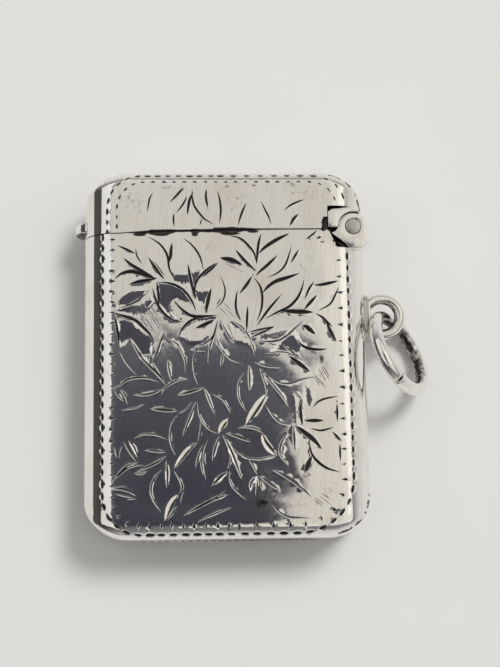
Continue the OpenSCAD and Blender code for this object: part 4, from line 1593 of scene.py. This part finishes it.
@dataclass
class Case:
    """The four engraved shells, and the hidden sheet pieces that keep their CAD shape."""

    finishes: Finishes
    # Rust patches are tarnish and smudges; the soot patches near the mouth are painted shade in the gap
    # between lid and body.
    spots: tuple[Spot, ...] = (
        Spot(Stain.RUST_AND_SHADE, (4.0, -18.4), (1.1, 0.75), 0.75), Spot(Stain.RUST_AND_SHADE, (11.4, -1.3), (0.3, 0.6), 0.7),
        Spot(Stain.RUST_AND_SHADE, (9.3, -15.2), (0.6, 0.35), 0.5), Spot(Stain.SOOT_AND_SHADE, (-10.4, 14.3), (1.0, 0.25), 0.6),
        Spot(Stain.SOOT_AND_SHADE, (-7.8, 14.3), (1.2, 0.25), 0.6), Spot(Stain.SOOT_AND_SHADE, (-3.7, 14.3), (0.5, 0.3), 0.6),
        Spot(Stain.SOOT_AND_SHADE, (0.6, 14.4), (1.5, 0.3), 0.6), Spot(Stain.SOOT_AND_SHADE, (3.4, 14.6), (0.9, 0.2), 0.55),
        Spot(Stain.SOOT_AND_SHADE, (10.2, 13.7), (0.5, 0.15), 0.5), Spot(Stain.SOOT_AND_SHADE, (11.9, 13.3), (0.4, 0.15), 0.5),
        Spot(Stain.RUST_AND_SHADE, (0.3, 20.4), (0.35, 0.2), 0.6), Spot(Stain.RUST_AND_SHADE, (3.6, 20.5), (0.35, 0.15), 0.6),
        Spot(Stain.RUST_AND_SHADE, (1.0, 17.4), (0.3, 0.2), 0.45), Spot(Stain.RUST_AND_SHADE, (8.0, 20.6), (0.9, 0.3), 0.4),
        Spot(Stain.RUST_AND_SHADE, (-11.4, 18.6), (2.2, 1.6), 0.3), Spot(Stain.RUST_AND_SHADE, (1.4, 18.6), (1.6, 1.4), 0.28),
        Spot(Stain.RUST_AND_SHADE, (9.6, 19.4), (2.4, 1.0), 0.28), Spot(Stain.RUST_AND_SHADE, (-6.0, 20.2), (3.0, 0.5), 0.3),
    )
    body_rows: tuple[Row, ...] = (
        Row(-13.75, 13.8, -20.95, 20.95, (3.4, 3.4, 3.4, 5.5), 1.3, 1.9, 0.5, 0.38, 0.42),
        Row(-14.9, 14.95, -21.95, 21.85, (4.3, 4.3, 4.6, 6.6), 1.35, 1.5, 1.25, 0.66),
    )
    lid_rows: tuple[Row, ...] = (
        Row(-13.2, 13.8, -20.95, 20.95, (3.4, 3.4, 3.4, 3.4), 1.25, 1.3, 0.7, 0.3),
        Row(-14.4, 14.95, -21.95, 21.85, (4.3, 4.3, 4.3, 4.3), 1.3, 1.6, 1.0, 0.42),
    )
    scuffs: tuple[Scuff, ...] = (
        Scuff((10.2, 10.9), 48.0, 1.8, 1.3, 9), Scuff((10.5, 10.6), -50.0, 1.8, 1.3, 8),
        Scuff((-2.1, 12.9), 46.0, 1.4, 0.9, 7), Scuff((0.9, 10.3), -35.0, 1.5, 0.4, 6),
        Scuff((-9.4, 3.8), -56.0, 2.2, 1.3, 12), Scuff((0.1, 4.8), -45.0, 1.4, 0.5, 6),
        Scuff((11.7, -17.3), -38.0, 1.4, 1.8, 14), Scuff((11.5, -3.6), -60.0, 1.5, 1.0, 7),
    )
    border_seed: int = 11
    wear_seed: int = 41
    swell_share: float = 0.6
    upper_swell: float = 0.2
    lower_swell: float = 0.22
    upper_brim: float = 0.32
    lid_brim: float = 0.25
    left_field_limit: float = 8.6
    notch_clear: float = 0.15
    lid_notch_drop: float = 0.75

    def form(self) -> CaseForm:
        """Outer form of the case, from the shells' boxes.

        Returns:
            The form.
        """
        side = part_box("body_front_shell")[1]
        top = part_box("lid_front_shell")[1]
        return CaseForm(side.x / MM, top.y / MM, top.z / MM / 2)

    def notches(self) -> Notches:
        """Corners cut out for the hinge, from the hinge's boxes.

        Returns:
            The corners.
        """
        block_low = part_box("body_hinge_block")[0]
        recess_low, recess_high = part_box("lid_hinge_recess")
        return Notches(block_low.x / MM - self.notch_clear, block_low.y / MM,
                       recess_low.x / MM - self.notch_clear, recess_high.y / MM - self.lid_notch_drop)

    def foliage(self) -> dict[Body, tuple[Cut, ...]]:
        """Leaf cuts as laid: lower ones left of a limit get thin soot whose core is painted shade on the
        groove wall away from the lamps, the others are full of soot.

        Returns:
            The cuts of each body.
        """
        left_field = tuple(c for c in LOWER_CUTS if np.mean(c.points, axis=0)[0] < self.left_field_limit)
        kept = tuple(c for c in LOWER_CUTS if c not in left_field)
        body = self.swell(UPPER_CUTS, self.upper_swell, self.upper_brim)
        body += self.swell(kept, self.lower_swell, self.upper_brim)
        body += self.swell(left_field, self.lower_swell, shade_sided=True)
        return {Body.CASE: body, Body.LID: self.swell(LID_CUTS, self.upper_swell, self.lid_brim)}

    def build(self) -> None:
        """Build and dress every sheet piece."""
        form = self.form()
        mouth = Mouth()
        notches = self.notches()
        foliage = self.foliage()
        rows = {Body.CASE: self.body_rows, Body.LID: self.lid_rows}
        for side in Side:
            for body in (Body.CASE, Body.LID):
                cuts = list(foliage[body])
                for k, row in enumerate(rows[body]):
                    cuts += row.cuts(self.border_seed + k)
                if body is Body.CASE and side is Side.FRONT:
                    for k, scuff in enumerate(self.scuffs):
                        cuts += scuff.cuts(self.wear_seed + k)
                spots = self.spots if side is Side.FRONT else ()
                shell = Shell(body, side, form, mouth, notches, Engraving(tuple(cuts)), spots)
                shell.build(self.finishes.engraved, self.finishes.lining)
        self.dress_hidden()

    def swell(self, cuts: tuple[Cut, ...], most: float, brim: float = 0.0,
              shade_sided: bool = False) -> tuple[Cut, ...]:
        """Widen cuts by their bright flanks and say how the soot lies in them.

        Args:
            cuts: Cuts as drawn.
            most: Most that a cut grows by.
            brim: How much soot reaches their edges.
            shade_sided: Whether their soot is thinned and its core painted as shade on the groove wall away
                from the lamps.

        Returns:
            The widened cuts.
        """
        return tuple(replace(c, width=c.width + min(self.swell_share * c.width, most), brim=brim,
                             shade_sided=shade_sided) for c in cuts)

    def dress_hidden(self) -> None:
        """Give the pieces that keep their CAD shape their finish."""
        # The hinge recesses take a near-black finish as painted shade in the voids beside the hinge; the
        # collar's dark finish is part oxide, part painted shade in the gap at the mouth.
        dress = {"mouth_collar": self.finishes.inner, "body_hinge_recess": self.finishes.painted_shade,
                 "lid_hinge_recess": self.finishes.painted_shade, "loop_washer": self.finishes.inner,
                 "striker_plate": self.finishes.striker, "lid_spring": self.finishes.steel}
        for node, finish in dress.items():
            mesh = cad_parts[node].data
            mesh.materials.clear()
            mesh.materials.append(finish)
            LOG.info("%s keeps its CAD shape", node)


@dataclass
class Hinge:
    """Knuckle block of the body, strap of the lid and the pin through both, seen along the pin."""

    ROD_STEPS = 64
    BARREL_STEPS = 40
    HOLLOW_STEPS = 32
    CAM_STEPS = 4

    finishes: Finishes
    barrel_r: float = 1.7
    knuckle_r: float = 1.6
    pin_clear: float = 0.02
    lid_clear: float = 0.04
    heel: Point2 = (-2.8, -0.85)
    waist: Point2 = (-1.0, -2.2)
    foot_heel: float = -0.6
    foot_toe: float = 1.0
    sole: Point2 = (1.5, -2.5)
    toe: Point2 = (1.95, -1.8)
    ankle: Point2 = (1.8, -1.3)
    shin: Point2 = (1.62, -0.9)
    shoulder: Point2 = (-2.2, -0.56)
    foot_t: float = 0.4
    hollow_r: float = 1.85
    strap_reach: float = 3.1
    strap_low: float = -0.15
    strap_side: float = 1.9
    strap_bend: Point2 = (-2.6, 2.25)
    strap_crest: Point2 = (-0.4, 2.48)
    strap_tip: float = 0.8
    cam_r: float = 1.5
    knuckle_half: float = 1.9
    knuckle_gap: float = 0.12
    ease: float = 0.16
    fine_ease: float = 0.06
    pin_ease: float = 0.14
    pin_proud: float = 0.05
    foot_ease: float = 0.05
    foot_lap: float = 0.2
    barrel_arc: Point2 = (-9.0, 174.0)
    hollow_arc: Point2 = (183.0, 66.0)
    cam_arc: Point2 = (183.0, 201.0)
    knuckle_arc: Point2 = (250.0, 426.0)
    pin_r: float = field(init=False)
    half_l: float = field(init=False)
    axis: Place = field(init=False)
    drop: float = field(init=False)
    crest: float = field(init=False)

    def __post_init__(self) -> None:
        """Take the pin's size and place, the foot and the strap's top from the CAD boxes."""
        low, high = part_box("hinge_pin")
        self.pin_r = (high.x - low.x) / 2 / MM
        self.half_l = (high.z - low.z) / 2 / MM
        self.axis = Place(tuple((low + high) / 2 / MM))
        self.drop = self.axis.origin[1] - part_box("body_hinge_block")[0].y / MM
        self.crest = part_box("lid_hinge_block")[1].y / MM - self.axis.origin[1]

    def build(self) -> None:
        """Build the pin, the body's block and the lid's strap."""
        self.build_pin()
        self.build_block()
        self.build_strap()

    def build_pin(self) -> None:
        """Build the pin with its eased ends."""
        sketch = Sketch()
        rod = arc(self.pin_r, 0.0, 360.0, self.ROD_STEPS)[:-1]
        end = self.half_l + self.pin_proud
        sketch.prism(rod, -end, end, self.pin_ease, self.axis)
        settle(sketch.piece("hinge_pin_eased"), Body.CASE, self.finishes.dull, "hinge_pin")

    def build_block(self) -> None:
        """Build the two outer knuckles on their foot."""
        sketch = Sketch()
        outline = [self.heel, self.waist, (self.foot_heel, -self.drop), (self.foot_toe, -self.drop),
                   self.sole, self.toe, self.ankle, self.shin]
        outline += arc(self.barrel_r, *self.barrel_arc, self.BARREL_STEPS)
        outline.append(self.shoulder)
        inner = self.knuckle_half + self.knuckle_gap
        for low, high in ((inner, self.half_l), (-self.half_l, -inner)):
            sketch.prism(outline, low, high, self.ease, self.axis, self.pin_r + self.pin_clear)
        foot = [(self.foot_heel, -self.drop), (self.foot_toe, -self.drop),
                (self.foot_toe, self.foot_t - self.drop), (self.foot_heel, self.foot_t - self.drop)]
        reach = inner + self.foot_lap
        sketch.prism(foot, -reach, reach, self.foot_ease, self.axis)
        settle(sketch.piece("body_hinge_block_eased"), Body.CASE, self.finishes.plain, "body_hinge_block")

    def build_strap(self) -> None:
        """Build the lid's strap with its middle knuckle."""
        sketch = Sketch()
        upper = [(self.strap_tip, self.crest), self.strap_crest, self.strap_bend,
                 (-self.strap_reach, self.strap_side), (-self.strap_reach, self.strap_low)]
        hollow = arc(self.hollow_r, *self.hollow_arc, self.HOLLOW_STEPS)
        inner = self.knuckle_half
        for low, high in ((inner, self.half_l), (-self.half_l, -inner)):
            sketch.prism(upper + hollow, low, high, self.ease, self.axis)
        knuckle = arc(self.knuckle_r, *self.cam_arc, self.CAM_STEPS) + [(-self.cam_r, -self.cam_r)]
        knuckle += arc(self.knuckle_r, *self.knuckle_arc, self.BARREL_STEPS)
        sketch.prism(upper + knuckle, -inner, inner, self.fine_ease, self.axis, self.pin_r + self.lid_clear)
        settle(sketch.piece("lid_hinge_block_eased"), Body.LID, self.finishes.plain, "lid_hinge_block")


@dataclass
class Hanger:
    """Seat, eye and split ring at the side of the case."""

    SEAT_STEPS = 12
    FOOT_STEPS = 6
    EYE_STEPS = 72
    RING_STEPS = 140
    SIDE_AXES = ((0, 1, 0), (0, 0, 1), (1, 0, 0))

    finishes: Finishes
    loop_r: float = 2.27
    wire_r: float = 0.66
    foot_t: float = 0.35
    foot_half: float = 1.9
    foot_corner: float = 0.3
    foot_ease: float = 0.1
    eye_end: float = 142.0
    eye_ease: float = 0.1
    seat_sink: float = 1.1
    seat_corner: float = 0.8
    seat_ease: float = 0.2
    ring_wire_r: float = 0.83
    ring_r: float = 5.0
    ring_ease: float = 0.18
    heading: float = -65.0
    lean: float = 57.0
    split_turn: float = 126.0
    split: float = 0.6
    grime_and_shade: float = 0.85
    seat_low: Vector = field(init=False)
    seat_high: Vector = field(init=False)

    def __post_init__(self) -> None:
        """Take the seat's box from its CAD node."""
        low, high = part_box("loop_seat")
        self.seat_low = low / MM
        self.seat_high = high / MM

    def build(self) -> None:
        """Build the seat, the eye and the ring."""
        self.build_seat()
        self.build_eye()
        self.build_ring()

    def build_seat(self) -> None:
        """Build the raised seat, sunk a little into the side."""
        sketch = Sketch()
        half_l = (self.seat_high.y - self.seat_low.y) / 2
        half_w = (self.seat_high.z - self.seat_low.z) / 2
        outline = rounded(half_l, half_w, self.seat_corner * half_w, self.SEAT_STEPS)
        middle = (self.seat_low + self.seat_high) / 2
        place = Place((self.seat_high.x, middle.y, middle.z), *self.SIDE_AXES)
        sketch.prism(outline, -self.seat_sink, 0.0, self.seat_ease, place)
        settle(sketch.piece("loop_seat_eased"), Body.CASE, self.finishes.dull, "loop_seat")

    def build_eye(self) -> None:
        """Build the eye of round wire on its foot plate."""
        sketch = Sketch()
        low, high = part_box("suspension_loop")
        middle = (high.x / MM - self.loop_r - self.wire_r, (low.y + high.y) / 2 / MM)
        height = (low.z + high.z) / 2 / MM
        round_eye = arc(self.loop_r, -self.eye_end, self.eye_end, self.EYE_STEPS, middle)
        path = np.array([(x, y, height) for x, y in round_eye])
        sketch.tube(path, (0, 0, 1), self.wire_r, self.eye_ease)
        place = Place((self.seat_high.x, middle[1], height), *self.SIDE_AXES)
        foot = rounded(self.foot_half, self.wire_r, self.foot_corner, self.FOOT_STEPS)
        sketch.prism(foot, 0.0, self.foot_t, self.foot_ease, place)
        piece = sketch.piece("suspension_loop_eased")
        away = np.linalg.norm(np.array(sketch.points)[:, :2] - np.array(middle), axis=1)
        # Painted shade: the eye darkens on its inner side, toward the hole.
        soil(piece, Stain.RUST_AND_SHADE, self.grime_and_shade * np.clip((self.loop_r - away) / self.wire_r, 0, 1))
        settle(piece, Body.CASE, self.finishes.plain, "suspension_loop")

    def build_ring(self) -> None:
        """Build the split ring, leaning through the eye."""
        sketch = Sketch()
        low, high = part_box("jump_ring")
        centre = np.array((low + high) / 2) / MM
        head = math.radians(self.heading)
        lean = math.radians(self.lean)
        along = np.array([math.cos(head), math.sin(head), 0.0])
        across = np.array([-math.sin(head), math.cos(head), 0.0])
        rise = -math.cos(lean) * across + math.sin(lean) * np.array([0.0, 0.0, 1.0])
        half = math.degrees(self.split / self.ring_r / 2)
        turn = 180 - self.split_turn
        circle = np.array(arc(self.ring_r, turn + half, turn + 360 - half, self.RING_STEPS))
        path = centre + circle[:, :1] * along + circle[:, 1:] * rise
        sketch.tube(path, tuple(np.cross(along, rise)), self.ring_wire_r, self.ring_ease)
        piece = sketch.piece("jump_ring_eased")
        spots = np.array(sketch.points) - centre
        away = np.hypot(spots @ along, spots @ rise)
        # Painted shade: the ring darkens on its inner side.
        soil(piece, Stain.RUST_AND_SHADE, self.grime_and_shade * np.clip((self.ring_r - away) / self.ring_wire_r, 0, 1))
        settle(piece, Body.RING, self.finishes.plain, "jump_ring")


@dataclass
class ThumbPiece:
    """Half round nub on the free side of the lid."""

    ARC_STEPS = 32

    finishes: Finishes
    sink: float = 0.5
    ease: float = 0.3
    grime_and_shade: float = 0.8
    clean_share: float = 0.6

    def build(self) -> None:
        """Build the nub."""
        low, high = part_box("thumb_piece")
        low = low / MM
        high = high / MM
        half = (high.z - low.z) / 2
        reach = high.x - low.x
        radius = (half ** 2 + reach ** 2) / (2 * reach)
        spread = math.degrees(math.asin(min(1.0, half / radius)))
        outline = arc(radius, -spread, spread, self.ARC_STEPS, (-radius, 0.0))
        outline += [(-reach - self.sink, half), (-reach - self.sink, -half)]
        place = Place((low.x, (low.y + high.y) / 2, (low.z + high.z) / 2), (-1, 0, 0), (0, 0, 1), (0, 1, 0))
        sketch = Sketch()
        thick = (high.y - low.y) / 2
        sketch.prism(outline, -thick, thick, self.ease, place)
        piece = sketch.piece("thumb_piece_eased")
        # Painted shade, with some tarnish: the nub darkens toward its two ends along Y.
        ends = np.abs(np.array(sketch.points)[:, 1] - place.origin[1]) / thick
        share = np.clip((ends - self.clean_share) / (1 - self.clean_share), 0, 1)
        soil(piece, Stain.RUST_AND_SHADE, self.grime_and_shade * share)
        settle(piece, Body.LID, self.finishes.plain, "thumb_piece")


@dataclass(frozen=True)
class Softbox:
    """Flat rectangular lamp: where it hangs, where it aims, its size and how bright it looks."""

    name: str
    where: Point3
    aim: Point3
    width: float
    height: float
    level: float
    colour: tuple[float, float, float] = (1.0, 1.0, 1.0)
    turn: float = 0.0

    def hang(self) -> None:
        """Add the lamp to the scene."""
        lamp = bpy.data.lights.new(self.name, "AREA")
        lamp.shape = "RECTANGLE"
        lamp.size = self.width * MM
        lamp.size_y = self.height * MM
        lamp.energy = self.level * math.pi * lamp.size * lamp.size_y
        lamp.color = self.colour
        holder = bpy.data.objects.new(self.name, lamp)
        holder.location = Vector(self.where) * MM
        ray = Vector(self.aim) - Vector(self.where)
        spin = Matrix.Rotation(math.radians(self.turn), 3, "Z")
        holder.rotation_euler = (ray.to_track_quat("-Z", "Y").to_matrix() @ spin).to_euler()
        holder.visible_camera = False
        bpy.context.scene.collection.objects.link(holder)


@dataclass(frozen=True)
class WindowLight:
    """Far soft light from one side, even over the whole floor; metal mirrors the boxes instead."""

    toward: Point3 = (0.4, 0.42, 0.82)
    level: float = 1.6
    spread: float = 20.0

    def hang(self) -> None:
        """Add the light to the scene."""
        lamp = bpy.data.lights.new("window_light", "SUN")
        lamp.energy = self.level
        lamp.angle = math.radians(self.spread)
        holder = bpy.data.objects.new("window_light", lamp)
        holder.rotation_euler = Vector(self.toward).to_track_quat("Z", "Y").to_euler()
        holder.visible_glossy = False
        bpy.context.scene.collection.objects.link(holder)


@dataclass
class Studio:
    """Camera, floor, soft lamps and the room round them."""

    FLOOR_RINGS = 12
    FLOOR_STEPS = 96

    camera_at: Point3 = (-5.9, -30.05, 174.8)
    camera_aim: Point3 = (2.82, 1.92, 9.5)
    camera_roll: float = 1.02
    focal_px: float = 1400.0
    sensor: float = 36.0
    near_clip: float = 1.0
    floor_r: float = 1500.0
    floor_core_r: float = 30.0
    walls: tuple[tuple[float, Colour], ...] = (
        (0.25, grey(0.66, 0.65, 0.63)), (0.62, grey(0.26, 0.26, 0.265)),
        (0.97, grey(0.15, 0.15, 0.168)), (0.999, grey(0.048, 0.047, 0.064)),
    )
    dim_side: Point3 = (-0.97, -0.24, 0.0)
    dim_range: Point2 = (0.1, 0.8)
    dim_level: float = 0.12
    boxes: tuple[Softbox, ...] = (
        Softbox("top_box", (5, 282, 410), (5, 282, 0), 172, 400, 0.48, (1.0, 0.955, 0.83), -11.0),
        Softbox("right_box", (260, 101, 410), (260, 101, 0), 400, 660, 0.6, (1.0, 0.955, 0.83), -11.0),
        Softbox("left_box", (-380, 50, 410), (-380, 50, 0), 520, 700, 0.7, (1.0, 0.99, 0.97)),
        Softbox("bright_box", (300, 120, 330), (0, 0, 0), 200, 300, 0.2, (1.0, 0.98, 0.9)),
    )

    def build(self) -> None:
        """Set up everything that isn't the case."""
        bpy.context.scene.view_settings.view_transform = "Standard"
        self.build_camera()
        self.build_floor()
        self.build_room()
        for box in self.boxes:
            box.hang()
        WindowLight().hang()

    def build_camera(self) -> None:
        """Stand the camera at the photograph's viewpoint."""
        data = bpy.data.cameras.new("viewpoint")
        data.sensor_width = self.sensor
        data.lens = self.focal_px / max(IMAGE_SIZE) * self.sensor
        data.clip_start = self.near_clip * MM
        camera = bpy.data.objects.new("viewpoint", data)
        back = (Vector(self.camera_at) - Vector(self.camera_aim)).normalized()
        right = Vector((0, 1, 0)).cross(back).normalized()
        axes = Matrix((right, back.cross(right), back)).transposed()
        turn = Matrix.Rotation(math.radians(-self.camera_roll), 3, "Z")
        camera.matrix_world = Matrix.Translation(Vector(self.camera_at) * MM) @ (axes @ turn).to_4x4()
        bpy.context.scene.collection.objects.link(camera)
        bpy.context.scene.camera = camera

    def build_floor(self) -> None:
        """Lay a round pale floor under the case."""
        sketch = Sketch()
        turns = np.linspace(0, 2 * math.pi, self.FLOOR_STEPS, endpoint=False)
        circle = np.column_stack([np.cos(turns), np.sin(turns), turns * 0])
        radii = np.geomspace(self.floor_core_r, self.floor_r, self.FLOOR_RINGS)
        rings = [sketch.add_points(radius * circle) for radius in radii]
        sketch.faces.append(rings[0])
        for inner, outer in zip(rings, rings[1:]):
            sketch.band(inner, outer)
        floor = sketch.piece("floor")
        floor.data.materials.append(FloorFinish().material())

    def build_room(self) -> None:
        """Give the room pale walls, dim on one side, and a dark ceiling."""
        world = bpy.data.worlds.new("room")
        bpy.context.scene.world = world
        graph = Graph(world, "Background")
        ray = graph.add("ShaderNodeTexCoord").outputs["Generated"]
        split = graph.add("ShaderNodeSeparateXYZ")
        ramp = graph.add("ShaderNodeValToRGB")
        stops = ramp.color_ramp.elements
        for stop, (height, colour) in zip(stops, (self.walls[0], self.walls[-1])):
            stop.position = height
            stop.color = colour
        for height, colour in self.walls[1:-1]:
            stops.new(height).color = colour
        graph.join(ray, split.inputs["Vector"])
        graph.join(split.outputs["Z"], ramp.inputs["Fac"])
        graph.join(ramp.outputs["Color"], graph.look["Color"])
        toward = graph.add("ShaderNodeVectorMath", operation="DOT_PRODUCT")
        toward.inputs[1].default_value = self.dim_side
        graph.join(ray, toward.inputs[0])
        dim = graph.remap(toward.outputs["Value"], *self.dim_range, 1.0, self.dim_level)
        graph.join(dim, graph.look["Strength"])


def main() -> None:
    """Build the studio and every piece of the case in order."""
    logging.basicConfig(level=logging.INFO, format="%(name)s: %(message)s")
    Studio().build()
    finishes = Finishes()
    Case(finishes).build()
    Hinge(finishes).build()
    Hanger(finishes).build()
    ThumbPiece(finishes).build()


if __name__ == "__main__":
    main()
